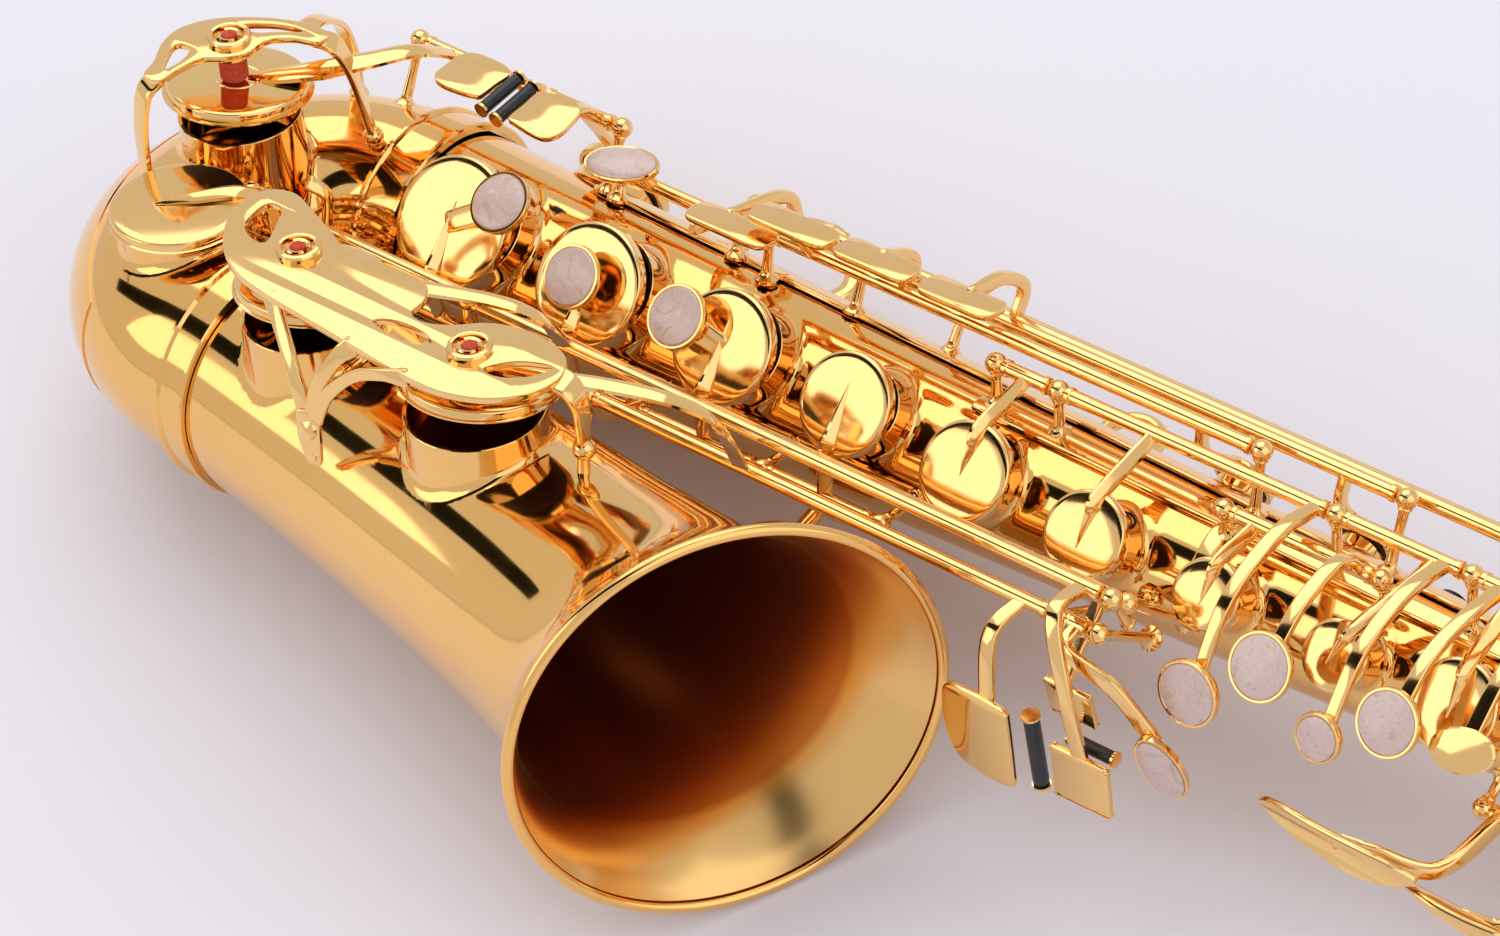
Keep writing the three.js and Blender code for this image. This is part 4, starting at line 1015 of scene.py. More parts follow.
FELT_B, FELT_BB = (40.0, -94.5), (107.5, -100.5)
cup_b, slots_b = felt_cup(FELT_B, GUARD_Z)
cup_bb, slots_bb = felt_cup(FELT_BB, GUARD_Z)
leg_up = (0.25, -1, 0.25)
guard_legs = [
    sweep([(46, -111.5, 61.2), (54, -116.5, 56), (61, -120.5, 47), (65, -121.8, 36)],
          [(2.6, 1.1), (2.1, 1.0), (2.0, 1.0), (2.4, 1.0)],
          up=leg_up),
    sweep([(79, -115.2, 61.2), (75, -117.5, 57), (69.5, -120.6, 47), (67, -121.8, 36)],
          [(3.0, 1.1), (2.2, 1.0), (2.0, 1.0), (2.4, 1.0)],
          up=leg_up),
    sweep([(100, -117.2, 61.2), (93, -118.8, 60.4), (83, -119.8, 56), (74, -121.4, 47), (68.4, -122, 37)],
          [(2.6, 1.1), (1.8, 1.0), (1.7, 1.0), (1.8, 1.0), (2.4, 1.0)], up=leg_up),
    sweep([(66, -122.0, 38), (66.2, -122.8, 30), (66.4, -122.4, 22)], [(3.6, 1.0), (3.4, 1.0), (2.2, 0.9)],
          up=leg_up),
    sweep([(131, -95, 61.6), (137, -94.6, 60), (139.4, -94, 54), (139.2, -94, 46), (138.6, -93.8, 41)],
          [(4.0, 1.1), (3.6, 1.1), (2.8, 1.1), (2.4, 1.1), (2.2, 1.1)], up=(1, 0, 0.15)),
    sweep([(16, -79, 61.6), (12, -77, 58), (10.6, -75, 50), (10.8, -74, 42)],
          [(3.4, 1.1), (3.0, 1.1), (2.4, 1.1), (2.2, 1.1)],
          up=(-1, 0.3, 0.1)),
]
screw = [
    lathe([(0.05, -0.6), (3.0, -0.6), (3.2, 0.4), (2.8, 1.2), (1.8, 1.7), (0.05, 1.9)], (66, -122.6, 33),
          (0, -0.95, 0.25), 24),
    lathe([(0.05, -1), (1.6, -1), (1.9, 0), (1.6, 0.7), (0.05, 0.9)], (66.3, -122.9, 24.5), (0, -0.97, 0.2),
          20),
    ball_head((138.6, -93.6, 40.5), 3.2), ball_head((10.8, -74, 40.6), 3.2),
    lathe([(0.05, 0), (5.2, 0), (5.2, 0.6), (2.4, 1.6), (1.7, 4), (1.6, 8), (0.05, 8)], (138.6, -95, 30.6),
          (0, 0.1, 1), 24),
    lathe([(0.05, 0), (5.0, 0), (5.0, 0.6), (2.4, 1.6), (1.7, 4), (1.6, 8), (0.05, 8)], (11, -77, 31.6),
          (0, 0.1, 1), 24),
]
piece("bell_key_guard_plate", "horn", [
    sheet_plate(GUARD_EDGE, GUARD_Z - 1.2, GUARD_Z + 1.2, GUARD_HOLES, 0.5), cup_b, cup_bb, slots_b,
        slots_bb, guard_legs, screw,
], "keywork", ["bell_key_guard"])
piece("bell_guard_felts", "horn", [
    felt_plug(FELT_B, GUARD_Z + 1.5, GUARD_Z + 3.4, 2.1),
        felt_plug(FELT_BB, GUARD_Z + 1.5, GUARD_Z + 3.4, 2.1),
    felt_plug(FELT_B, GUARD_Z - 10.2, GUARD_Z - 3.2, 3.6),
        felt_plug(FELT_BB, GUARD_Z - 8.4, GUARD_Z - 3.2, 3.6),
], "felt")

C_Z = 66.0
C_EDGE = [(-52, -56), (-56.5, -48), (-57.5, -40), (-53.5, -32), (-46, -25.5), (-37, -20.5), (-28, -17.6),
          (-21, -18.2),
          (-20.5, -23), (-27.5, -25.5), (-33, -30.5), (-33.2, -38), (-37, -43.5), (-42, -47.5), (-43.5, -55),
              (-44, -62),
          (-49.5, -62.5)]
C_HOLES = [[(-52.6, -46.5), (-49.5, -53.5), (-46.6, -57.0), (-45.8, -51), (-48.2, -45.5)],
           [(-44.5, -29.3), (-38.5, -24.5), (-31.5, -21.6), (-27.5, -21.6), (-33, -25.6), (-38.6, -29.6)]]
c_cup, c_slots = felt_cup((-41.5, -36.5), C_Z)
piece("low_c_guard_plate", "horn", [
    sheet_plate(C_EDGE, C_Z - 1.1, C_Z + 1.1, C_HOLES, 0.45), c_cup, c_slots,
    sweep([(-47, -60, 65.6), (-48.6, -64, 62), (-49.6, -66, 52), (-50.5, -66, 40), (-51, -65.6, 30)],
          [(3.4, 1.0), (3.4, 1.0), (3.0, 1.0), (2.8, 1.0), (2.6, 1.0)], up=(-0.3, -1, 0)),
    sweep([(-24, -20.5, 65.6), (-19.6, -17.5, 63), (-17.6, -14.8, 54), (-17, -12, 40), (-16.6, -10.4, 30)],
          [(3.6, 1.0), (3.8, 1.0), (2.8, 1.0), (2.2, 1.0), (2.0, 1.0)], up=(0.8, 0.5, 0)),
    sweep([(-30, -19, 65.6), (-33, -9, 62), (-38, 2, 52), (-41, 8, 38), (-42, 9.5, 24)],
          [(3.0, 1.0), (2.6, 1.0), (2.4, 1.0), (2.2, 1.0), (2.0, 1.0)], up=(-0.2, 1, 0.4)),
    ball_head((-51, -66.4, 31.5), 3.4), ball_head((-42, 9.5, 22.5), 3.0),
        ball_head((-16.6, -10.4, 29.5), 3.0),
    lathe([(0.05, 0), (4.6, 0), (4.6, 0.6), (2.2, 1.6), (1.6, 3), (1.5, 8), (0.05, 8)], (-50.6, -62.5, 21),
          (-0.05, -0.35, 1), 24),
], "keywork", ["low_c_guard"])
piece("low_c_guard_felts", "horn", [
    felt_plug((-41.5, -36.5), C_Z + 1.5, C_Z + 3.4, 2.1),
        felt_plug((-41.5, -36.5), C_Z - 11.0, C_Z - 3.2, 4.0)], "felt")

# ---------------------------------------------------------------- ribs and posts
piece("right_hand_rib", "horn", [
    rib_shape(4, 194, 84, 3.2), [radial_post(x, A1) for x in (8, 57, 105, 149, 190)],
    sweep([(57, -36, 4), (57, -46, 10), (57, -51, 19), p3(57, L1)], [(2.0, 1.4)] * 4, up=(1, 0, 0)),
        ball_head(p3(57, L1)),
    sweep([(105, -37, 5), (105, -46, 8), (105, -53, 12), p3(105, L2)], [(2.0, 1.4)] * 4, up=(1, 0, 0)),
        ball_head(p3(105, L2)),
], "keywork", ["rh_post_rib"])
piece("left_hand_rib", "horn", [
    rib_shape(195, 410, 5, 3), [radial_post(x, A3) for x in (199, 220, 310, 352, 375.5, 405.5)],
    [radial_post(x, A3B) for x in (280, 329.6, 371.2, 387)], [strap_foot(x, 5, -3) for x in (199, 310, 352)],
    strap_foot(278, 5, 90, 2.6), post_shape(at(278, 88, body_r(278) + 1), p3(278, L3)),
    post_shape((278, -36, 5), p3(278, L2)), post_shape((278, -45, 16), p3(278, L1), base=2.0),
    post_shape(at(265.5, 84, body_r(265) + 1), p3(265.5, L2)), strap_foot(265.5, 76, 92, 2.4),
], "keywork", ["lh_post_rib"])
SIDE_POSTS = [(57, S0), (100.4, S0), (115, S1), (281, S1), (142, S2), (321, S2), (172, S3), (381, S3),
              (92, S4), (411, S4),
              (51.5, L5)]
piece("side_key_rib", "horn", [
    rib_shape(48, 414, -28, 3.2), [radial_post(x, l) for x, l in SIDE_POSTS],
    [strap_foot(x, -28, angle_of(l)) for x, l in SIDE_POSTS]], "keywork", ["side_post_rib"])

# ---------------------------------------------------------------- thumb hook, thumb rest, strap ring
hook_y = body_r(105)
piece("thumb_hook_casting", "horn", [
    oval((105, hook_y + 1.3, 0), (0, 1, 0), (1, 0, 0), 13, 8, [(0.8, -0.9), (0, -0.4), (0, 0.6), (0.8, 1.2)]),
    sweep([(113, hook_y + 1, 0), (116, hook_y + 12, 1), (109, hook_y + 22.5, 2), (96, hook_y + 26.5, 3),
           (84, hook_y + 23, 4)],
          [(4.4, 2.4), (4.2, 2.6), (4.6, 2.4), (5.2, 2.0), (4.6, 1.4)], up=(-1, 0.2, 0)),
    lathe([(0.05, 0), (2.6, 0), (2.4, 1.0), (0.05, 1.4)], (99, hook_y + 2.2, 0), (0, 1, 0), 20),
], "keywork", ["thumb_hook"])
ring_y = body_r(218)
piece("strap_ring_eye", "horn", [
    oval((218, ring_y + 1.3, 0), (0, 1, 0), (1, 0, 0), 13, 4.5,
         [(0.8, -0.9), (0, -0.4), (0, 0.5), (0.8, 1.1)]),
    torus((218, ring_y + 10.6, 0), (0, 0, 1), 8, 2.2, 40, 14)], "keywork", ["strap_ring"])
rest_y = body_r(331)
piece("left_thumb_rest", "horn",
      lathe([(0.05, -0.6), (7.4, -0.6), (7.6, 0.4), (6.6, 1.4), (6.0, 2.6), (6.2, 3.6), (4.6, 4.2),
             (0.05, 4.5)],
                                       (331, rest_y + 0.2, 1), (0, 1, 0), 40), "ebonite")

# ---------------------------------------------------------------- keys of the stacks
def key_piece(name, shapes, l=None, hole=None, material="keywork", nodes=None, suffix="work"):
    geo = merge(flat_list(shapes))
    if l is not None:
        geo = turned(geo, l, swing_angle(l, hole))
    return piece(f"{name}_{suffix}", name, geo, material, [name] if nodes is None else nodes)


def stack_key(name, l, x0, x1, arms=(), touch=None, arm_x=None, tip=0.3, width=2.7):
    h = HOLES[name]
    parts = [hinge_tube(l, x0, x1), cup_shape(h), spike(p3(arm_x or h.foot[0], l), h, tip, width), list(arms)]
    if touch:
        parts.append(dish(*touch))
    key = name + "_key"
    key_piece(key, parts, l, h)
    key_piece(key, pad_shape(h), l, h, "leather", [], "pad")
    if touch:
        key_piece(key, pearl_shape(*touch), l, h, "pearl", [name + "_pearl"], "pearl")


def touch_at(x, phi, rho, r):
    return at(x, phi, rho), at(0, phi, 1), r


t_d, t_e, t_f = touch_at(50, 27, 45.5, 7.6), touch_at(81, 40, 44.5, 7.6), touch_at(116.5, 38, 43.2, 7.6)


def pearl_stem(h, touch):
    return sweep([h.up(h.top + 4), touch[0] - arr(touch[1]) * 1.4], [(3.2, 1.4), (3.6, 1.2)], up=h.dir)


stack_key("d", A1, 11, 54, [pearl_stem(HOLES["d"], t_d)], t_d, tip=0.32)
stack_key("e", A1, 60, 102, [], t_e, tip=-0.5, width=2.6)
stack_key("f", A1, 108, 146, [pearl_stem(HOLES["f"], t_f)], t_f, tip=0.45)
stack_key("fsharp", A1, 152, 187, tip=0.4)


def reach(x, l, phi, rho, via=46.0):
    pts = [p3(x, l), at(x, 24, via - 6.5), at(x, lerp(24, phi, 0.5), via - 1.5), at(x, phi, rho - 1.4)]
    ups = [at(0, angle_of(l) + 6, 1), at(0, 22, 1), at(0, lerp(24, phi, 0.55), 1), at(0, phi, 1)]
    return sweep(pts, [(1.9, 1.5), (2.1, 1.4), (2.0, 1.3), (1.9, 1.1)], up=ups, per=9)


stack_key("gsharp", A3, 202, 217, tip=0.1, width=2.2)
stack_key("g", A3, 223, 307, [reach(304, A3, 84, 50)], touch_at(304, 84, 50, 7.8), tip=0.3, width=2.2)
stack_key("a", A3B, 283, 327, [reach(323, A3B, 68, 50)], touch_at(323, 68, 50, 7.8), tip=0.3, width=2.0)
stack_key("bis", A3, 313, 349, [reach(344, A3, 76, 50)], touch_at(343, 79, 49.5, 5.4), arm_x=341, tip=0.3,
          width=2.0)
stack_key("b", A3, 355, 372.6, [reach(361, A3, 66, 49, 45)], touch_at(361, 66, 49, 7.6), tip=0.25, width=2.2)
stack_key("c", A3, 378.5, 402.6, tip=0.3, width=1.8)

# ---------------------------------------------------------------- bell keys and the left-hand table
TABLE_N = arr([0, -0.98, -0.2])


def table_plate(x, z, outline, y, thick=1.9):
    """A touch of the little-finger table; outline is (along X, up Z) about its middle."""
    fx, fy, fz = basis(TABLE_N, (1, 0, 0))
    c = arr([x, y, z])
    up = -fy if fy[2] < 0 else fy
    def where(u, v, w):
        return c + fx * u + up * v + fz * w
    return sheet_plate(outline, -thick / 2, thick / 2, bevel=0.4, place=where)


def rounded_box(a, b, r):
    pts = []
    for sx, sy, start in ((1, 1, 0), (-1, 1, 90), (-1, -1, 180), (1, -1, 270)):
        for k in (0, 30, 60, 90):
            t = radians(start + k)
            pts.append((sx * (a - r) + r * cos(t), sy * (b - r) + r * sin(t)))
    return pts


def bell_key(name, l, x0, x1, arm_pts, arm_sizes, lever, plates):
    h = HOLES[name]
    c = h.crown
    ridge = sweep([arr(p) for p in arm_pts], arm_sizes, "ridge", up=(0, 0.15, 1), per=9, blunt=False)
    key_piece(name + "_key", [hinge_tube(l, x0, x1), cup_shape(h, 0.6), ridge, lever, plates], l, h)
    key_piece(name + "_key", pad_shape(h), l, h, "leather", [], "pad")


bell_key("low_b", L1, 60, 274.8,
         [p3(93, L1), (95, -58, 36.5), (93, -64, 43.5), (84, -70, 47), (66, -79, 47.6), (46, -88.5, 46.4),
          (35, -93.5, 45.5)],
         [(2.6, 1.2), (3.2, 1.1), (3.6, 1.1), (3.6, 1.2), (3.6, 1.4), (2.4, 1.3), (0.3, 0.3)],
         sweep([p3(269, L1), (271, -65.6, 27), (279, -69.4, 8), (283, -66.5, -12)],
               [(2.2, 1.3), (2.1, 1.2), (2.1, 1.2), (2.4, 1.1)],
               up=[(0, 0, 1), (0, -1, 0.8), (0, -1, 0), (0, -1, 0)]),
         table_plate(282.9, -18, rounded_box(9.1, 8.5, 1.6), -65.5))
bell_key("low_bb", L2, 108.2, 262.4,
         [p3(160, L2), (160, -64, 33), (157, -70, 42), (149, -77, 47), (134, -86, 49), (114, -95.5, 48.4),
          (101, -100.5, 47.5)],
         [(2.6, 1.2), (3.0, 1.1), (3.4, 1.1), (3.6, 1.2), (3.6, 1.4), (2.4, 1.3), (0.3, 0.3)],
         sweep([p3(254, L2), (252, -67.6, 14), (254, -70.4, -4)], [(2.2, 1.3), (2.2, 1.2), (2.4, 1.1)],
               up=[(0, 0, 1), (0, -1, 0.5), (0, -1, 0)]),
         table_plate(254.5, -16,
                     [(-13, 12.8), (-6, 14), (2, 13.6), (6.8, 12), (7.2, 9), (7.2, -10), (6.6, -13), (2, -14),
                                  (-5, -13.4), (-11, -10.5), (-14.2, -3), (-14.4, 6)], -69))
h = HOLES["low_csharp"]
key_piece("low_csharp_lever", [
    hinge_tube(L3, -16.8, 274.8),
    sweep([p3(270.6, L3), (270.8, -57.6, 11), (271.8, -65.0, 4)], [(2.0, 1.3), (1.9, 1.2), (2.2, 1.1)],
          up=[(0, 0, 1), (0, -1, 0.6), (0, -1, 0)]),
    table_plate(273.9, 0.8, rounded_box(7.4, 6.0, 1.4), -64),
    sweep([p3(-3, L3), (-3, -43, 33), (-6, -46, 38.5)], [(1.8, 1.3), (1.7, 1.2), (2.2, 1.0)], up=(1, 0.2, 0)),
])
key_piece("low_csharp_key", [
    hinge_tube(CS, -20.7, -7.3), cup_shape(h, 0.6),
    sweep([p3(-12, CS), (-13, -58, 38.4), (-17, -64, 42), (-24, -73, 42.4), (-31, -81, 41.6)],
          [(2.4, 1.4), (3.0, 1.4), (3.2, 1.4), (2.2, 1.2), (0.3, 0.3)], "ridge", up=(0, 0.1, 1), per=8,
              blunt=False)])
key_piece("low_csharp_key", pad_shape(h), material="leather", nodes=[], suffix="pad")
gs_c, gs_n, gs_along = arr([300, -60.5, -10]), unit([0.25, -0.95, -0.2]), (0.3, 0, -1)
key_piece("gsharp_lever", [
    hinge_tube(L2, 268.6, 274.8),
    sweep([p3(271.7, L2), (273, -64.0, 17.5), (288, -64, 12), (298, -61, -2)],
          [(1.8, 1.4), (1.8, 1.3), (2.2, 1.2), (2.6, 1.0)],
          up=[(0, 0, 1), (0, -1, 0.4), (0, -1, 0.2), gs_n]),
    oval(gs_c, gs_n, gs_along, 11.4, 6.4,
         [(5.5, -1.2), (1.2, -1.2), (0.2, -0.6), (0, 0.4), (0, 1.3), (0.25, 1.5), (0.8, 1.4),
                                            (0.9, 1.1), (6.0, 1.1)])])
key_piece("gsharp_lever",
          oval(gs_c, gs_n, gs_along, 10.5, 5.5,
               [(5.2, 1.15), (0, 1.15), (0, 1.7), (0.4, 2.1), (2, 2.4), (4, 2.7), (5.3, 2.75)]),
          material="pearl", nodes=["gsharp_pearl"], suffix="pearl")

# ---------------------------------------------------------------- right little finger
h = HOLES["low_c"]
PINKY_N = (0, -0.12, 1)


def pinky(x, outline):
    return sheet_plate(outline, -1, 1, bevel=0.45, place=on_plane((x, 2, 51.6), PINKY_N, (1, 0, 0)))


key_piece("low_c_key", [
    hinge_tube(L5, -21.4, 21.5), cup_shape(h, 1.3),
    torus(h.up(h.top + GAP + 4.35), (0, 0, 1), 6.4, 0.35, 40, 8),
    sweep([p3(-12, L5), (-11, 12, 47), (-12, 2, 51.4), (-17, -9, 51.6), (-25, -20, 50.4), (-34, -29.5, 48.8),
           (-39.5, -34.5, 48.2)],
          [(3.6, 1.3), (3.6, 1.2), (3.8, 1.2), (4.4, 1.4), (5.0, 1.9), (3.4, 1.5), (0.3, 0.3)], "ridge",
              up=(0, 0.1, 1), per=9,
          blunt=False),
    sweep([p3(10, L5), (10, 14.5, 48), (11, 7, 50.8)], [(2.6, 1.3), (2.6, 1.2), (3.2, 1.0)],
          up=[(0, 1, 0.5), (0, 0.6, 1), (0, 0, 1)]),
    pinky(12, [(-8.6, -6), (-5, -8.4), (2, -8.3), (7, -7.4), (9, -6.2), (9, 0), (9, 5.6), (6, 8), (0, 8.6),
               (-6, 8), (-9, 5), (-9.2, -1)]),
], L5, h)
key_piece("low_c_key", pad_shape(h), L5, h, "leather", [], "pad")
h = HOLES["low_eb"]
key_piece("low_eb_key", [
    hinge_tube(L5, 24.2, 48), cup_shape(h), spike(p3(38, L5), h, 0.3, 2.4),
    sweep([p3(43, L5), (43, 14.5, 48), (42, 7, 50.8)], [(2.6, 1.3), (2.6, 1.2), (3.2, 1.0)],
          up=[(0, 1, 0.5), (0, 0.6, 1), (0, 0, 1)]),
    pinky(40.6,
          [(-8.6, -6.2), (-5, -7.4), (2, -8.3), (6.5, -7.6), (8.6, -4), (8.4, 1), (7.4, 5.6), (4, 8.4),
           (-2, 8.6), (-6, 7.4),
                 (-8.6, 6), (-8.6, 0)])])
key_piece("low_eb_key", pad_shape(h), material="leather", nodes=[], suffix="pad")


def roller(name, key, a, b, r):
    a, b = arr(a), arr(b)
    d = unit(b - a)
    length = np.linalg.norm(b - a)
    prof = [(0.05, 0), (r - 0.5, 0), (r, 0.5), (r, length - 0.5), (r - 0.5, length), (0.05, length)]
    piece(f"{name}_barrel", name, lathe(prof, a, d, 24), "roller", [name])
    ends = [lathe([(0.05, 0), (r + 0.4, 0), (r + 0.4, 0.8), (0.05, 0.8)], p, d, 20) for p in (a - d * 1.1,
        b + d * 0.3)]
    piece(f"{name}_bearings", key, ends, "keywork")


roller("c_roller", "low_c_key", (23.7, -5.4, 51.9), (23.7, 9.2, 53.6), 1.9)
roller("eb_roller", "low_eb_key", (28.9, -5.4, 50.7), (28.9, 9.2, 52.4), 1.9)
roller("bb_roller", "low_bb_key", (265.2, -69.8, -4.6), (265.2, -67.2, -28), 2.2)
roller("b_roller", "low_b_key", (276.5, -67, -8.2), (289.4, -67, -8.2), 1.9)

# ---------------------------------------------------------------- side keys and alternate F sharp
key_piece("alt_fsharp_key", [
    hinge_tube(S0, 60, 97.4),
        sweep([p3(68, S0), (68, 8.4, 42), (68, 4, 44.6)], [(1.8, 1.5), (1.8, 1.3), (3.0, 1.1)], up=(1, 0, 0)),
    oval((68, 2, 46), (-0.1, -0.25, 1), (1, 0.2, 0), 12, 6.6,
         [(5.6, -1.4), (1.6, -1.3), (0.3, -0.4), (0, 0.5), (0, 1.2), (0.3, 1.5), (0.8, 1.4), (0.9, 1.1),
          (6.2, 1.1)]),
    sweep([p3(94, S0), (96, 3, 37), (97, -3, 40)], [(1.8, 1.3), (1.6, 1.1), (1.8, 1.0)], up=(1, 0, 0))])
key_piece("alt_fsharp_key", oval((68, 2, 46), (-0.1, -0.25, 1), (1, 0.2, 0), 11.1, 5.7,
                                 [(5.4, 1.15), (0, 1.15), (0, 1.5), (0.4, 1.9), (2.2, 2.3), (4.2, 2.5),
                                  (5.5, 2.55)]),
          material="pearl", nodes=[], suffix="pearl")


def side_key(name, l, x0, x1, touch_x, touch_path, touch, arm_path, tail=0.0):
    h = HOLES[name]
    arm = [p3(h.foot[0], l)] + [arr(p) for p in arm_path] + [h.up(h.top + 4.6)]
    (tx, ty, tz), a, b = touch
    def where(u, v, w):
        lift = tail * max(0.0, (u - a * 0.45) / a) ** 2
        return arr([tx + u, ty + v, tz + w - 0.1 * v + lift])
    outline = [(-a, 0), (-a * 0.94, b * 0.7), (-a * 0.75, b), (0, b), (a * 0.75, b), (a * 0.96, b * 0.6),
               (a, 0), (a * 0.94, -b * 0.7),
               (a * 0.7, -b), (0, -b), (-a * 0.75, -b), (-a * 0.94, -b * 0.7)]
    key_piece(name + "_key", [
        hinge_tube(l, x0, x1), cup_shape(h),
        sweep(arm, [(2.0, 1.3)] * (len(arm) - 1) + [(1.6, 1.0)], up=h.dir if len(arm) < 3 else (1, 0, 0)),
        sweep([p3(touch_x, l)] + touch_path, [(1.9, 1.4)] * len(touch_path) + [(2.6, 1.1)], up=(1, 0, 0)),
        sheet_plate(outline, -1, 1, bevel=0.5, place=where)])
    key_piece(name + "_key", pad_shape(h), material="leather", nodes=[], suffix="pad")


side_key("high_fsharp", S4, 94.9, 408, 107, [(107, 24, 39), (107, 1, 45.4)], ((112, -3, 47), 14.5, 5), [])
side_key("side_bb", S1, 118, 278, 130, [(130, 3, 50.4)], ((130, 2, 51.4), 14, 5),
         [(262, 8.5, 29.6), at(262, -46, 27.6)])
side_key("side_c", S2, 145, 318, 158, [(158, 17, 44), (158, 5, 50.8)], ((159, 2, 52), 13, 5),
         [(302, 13.5, 27.6), at(302, -52, 26.6)])
side_key("high_e", S3, 175, 378, 188, [(188, 27, 41), (188, 18, 49), (188, 5, 51)], ((188, 2, 52), 13, 5),
         [at(362, -48, 25)], 3.0)


# ---------------------------------------------------------------- palm keys, front F, octave work
def palm_key(name, l, x0, x1, via, spoon):
    h = HOLES[name]
    x, phi, rho, a, b, along = spoon
    c, n = at(x, phi, rho), at(0, phi, 1)
    outline = [(-a, -b * 0.1), (-a * 0.72, b * 0.66), (-a * 0.3, b), (a * 0.3, b * 0.95),
               (a * 0.75, b * 0.66), (a, 0.15 * b),
               (a * 0.8, -b * 0.6), (a * 0.3, -b), (-a * 0.3, -b * 0.9), (-a * 0.72, -b * 0.6)]
    fx, fy, fz = basis(n, along)
    def where(u, v, w):
        sag = 1.6 * (v / b) ** 2 - 1.4 * (u / a) ** 2
        return c + fx * u + fy * v + fz * (w + sag)
    arm = [p3(x0 + 3, l)] + [arr(p) for p in via] + [lerp(arr(via[-1]), c, 0.6), c - n * 0.8]
    key_piece(name + "_key", [
        hinge_tube(l, x0, x1), cup_shape(h),
        sweep([p3(h.foot[0] - 4, l), h.up(h.top + 4.7)], [(2.2, 1.3), (1.4, 1.0)], "ridge", up=h.dir,
              blunt=False),
        sweep(arm, [(2.4, 1.6)] * (len(arm) - 2) + [(3.0, 1.4), (3.4, 1.0)], up=n),
        sheet_plate(outline, -0.9, 0.9, bevel=0.4, place=where)])
    key_piece(name + "_key", pad_shape(h), material="leather", nodes=[], suffix="pad")


palm_key("palm_d", PD, 376, 416, [at(374, 112, 48)], (350, 104, 57, 24, 6.5, (1, 0, -0.1)))
palm_key("palm_eb", PE, 420, 446, [at(420, 128, 46)], (382, 122, 54, 19, 6.5, (1, 0, -0.2)))
palm_key("palm_f", PF, 450, 472, [at(446, 148, 43)], (408, 142, 50, 16, 6.5, (1, 0.1, 0)))
key_piece("front_f_key", [
    hinge_tube(A3B, 374.2, 384),
        sweep([p3(379, A3B), at(380, 30, 43), at(380, 58, 46.8)], [(1.9, 1.4), (1.9, 1.2), (2.2, 1.0)],
                                       up=[at(0, 30, 1), at(0, 30, 1), at(0, 60, 1)]),
    oval(at(380, 62, 48), at(0, 62, 1), (1, 0, 0.3), 9.5, 6,
         [(4.8, -1.0), (1.0, -1.0), (0.1, -0.4), (0, 0.3), (0.5, 0.9), (2, 1.2), (5.4, 1.4)])])
key_piece("octave_lever", [
    hinge_tube(OV, 352, 474.8),
        sweep([p3(358, OV), at(356, -112, 31), at(352, -100, 34.6)], [(2.2, 1.6), (2.2, 1.4), (3.4, 1.0)],
                                      up=[at(0, -135, 1), at(0, -112, 1), at(0, -100, 1)]),
    oval(at(349, -97, 36), at(0, -97, 1), (1, 0, 0), 12, 7.5,
         [(6, -1.2), (1.2, -1.2), (0.1, -0.5), (0, 0.4), (0.5, 1.0), (2.6, 1.4), (6.6, 1.5)]),
    sweep([p3(472, OV), (476, 25, -24), (508, 22, -21), (518, 19, -19)], [(1.8, 1.8)] * 4, "round")])
h = HOLES["octave_vent"]
key_piece("octave_vent_key", [hinge_tube(OB, 378, 400), cup_shape(h),
                              sweep([p3(394, OB), h.up(h.top + 4.8)], [(1.8, 1.2), (1.2, 0.9)], up=h.dir)])

# ---------------------------------------------------------------- neck, mouthpiece, reed
NECK = [(488, 0, 13.1), (514, 0, 13.1), (518, 0, 13.1), (533, 1, 12.9), (551, 7, 12.6), (568, 20, 12.2),
        (580, 38, 11.8),
        (586.5, 60, 11.3), (588.5, 84, 10.8), (586.5, 108, 10.2), (583, 132, 9.6), (579.6, 156, 9)]
NECK_END = arr([579.6, 156, 0])
NECK_DIR = unit([-3.4, 24, 0])
ACROSS = arr([NECK_DIR[1], -NECK_DIR[0], 0])


def on_neck(s, side=0.0, z=0.0):
    return NECK_END + NECK_DIR * s + ACROSS * side + arr([0, 0, z])


def neck_rings(grow, n=56):
    path, par = curve([(x, y, 0) for x, y, _ in NECK], 8)
    radius = np.interp(par, range(len(NECK)), [r for _, _, r in NECK])
    tangent = np.gradient(path, axis=0)
    tangent /= np.linalg.norm(tangent, axis=1)[:, None]
    return [ring_of(section(p, degrees(atan2(-t[1], t[0])), r + grow), n) for p, t,
            r in zip(path, tangent, radius)]


piece("neck_shell", "neck", [
    skin(neck_rings(0) + neck_rings(-WALL)[::-1], caps=False, close=True),
    sleeve((516, 0, 0), 0, 13.0,
           [(15.8, -3), (16.2, -2.4), (16.2, -0.8), (15.2, 0.2), (14.4, 2.6), (13.2, 3.4)]),
    sweep([(536, 14, 0), (552, 26, 0), (563, 42, 0), (570, 66, 0)],
          [(3.2, 3.0), (3.0, 2.8), (2.8, 2.4), (2.2, 2.0)],
          up=(0, 0, 1)),
], "lacquer", ["neck_tube"])
cork_profile = [(9.4, 0), (11.0, 0), (11.4, 0.5), (11.25, 28.4), (10.9, 29), (9.4, 29)]
cx, cy, cz = basis(NECK_DIR, (0, 0, 1))
ct = np.linspace(0, 2 * pi, 48, endpoint=False)
piece("neck_cork_sleeve", "neck", skin(
    [on_neck(-30) + np.outer(np.cos(ct) * r, cx) + np.outer(np.sin(ct) * r, cy) + cz * k for r,
     k in cork_profile],
    caps=False, close=True), "cork", ["neck_cork"])

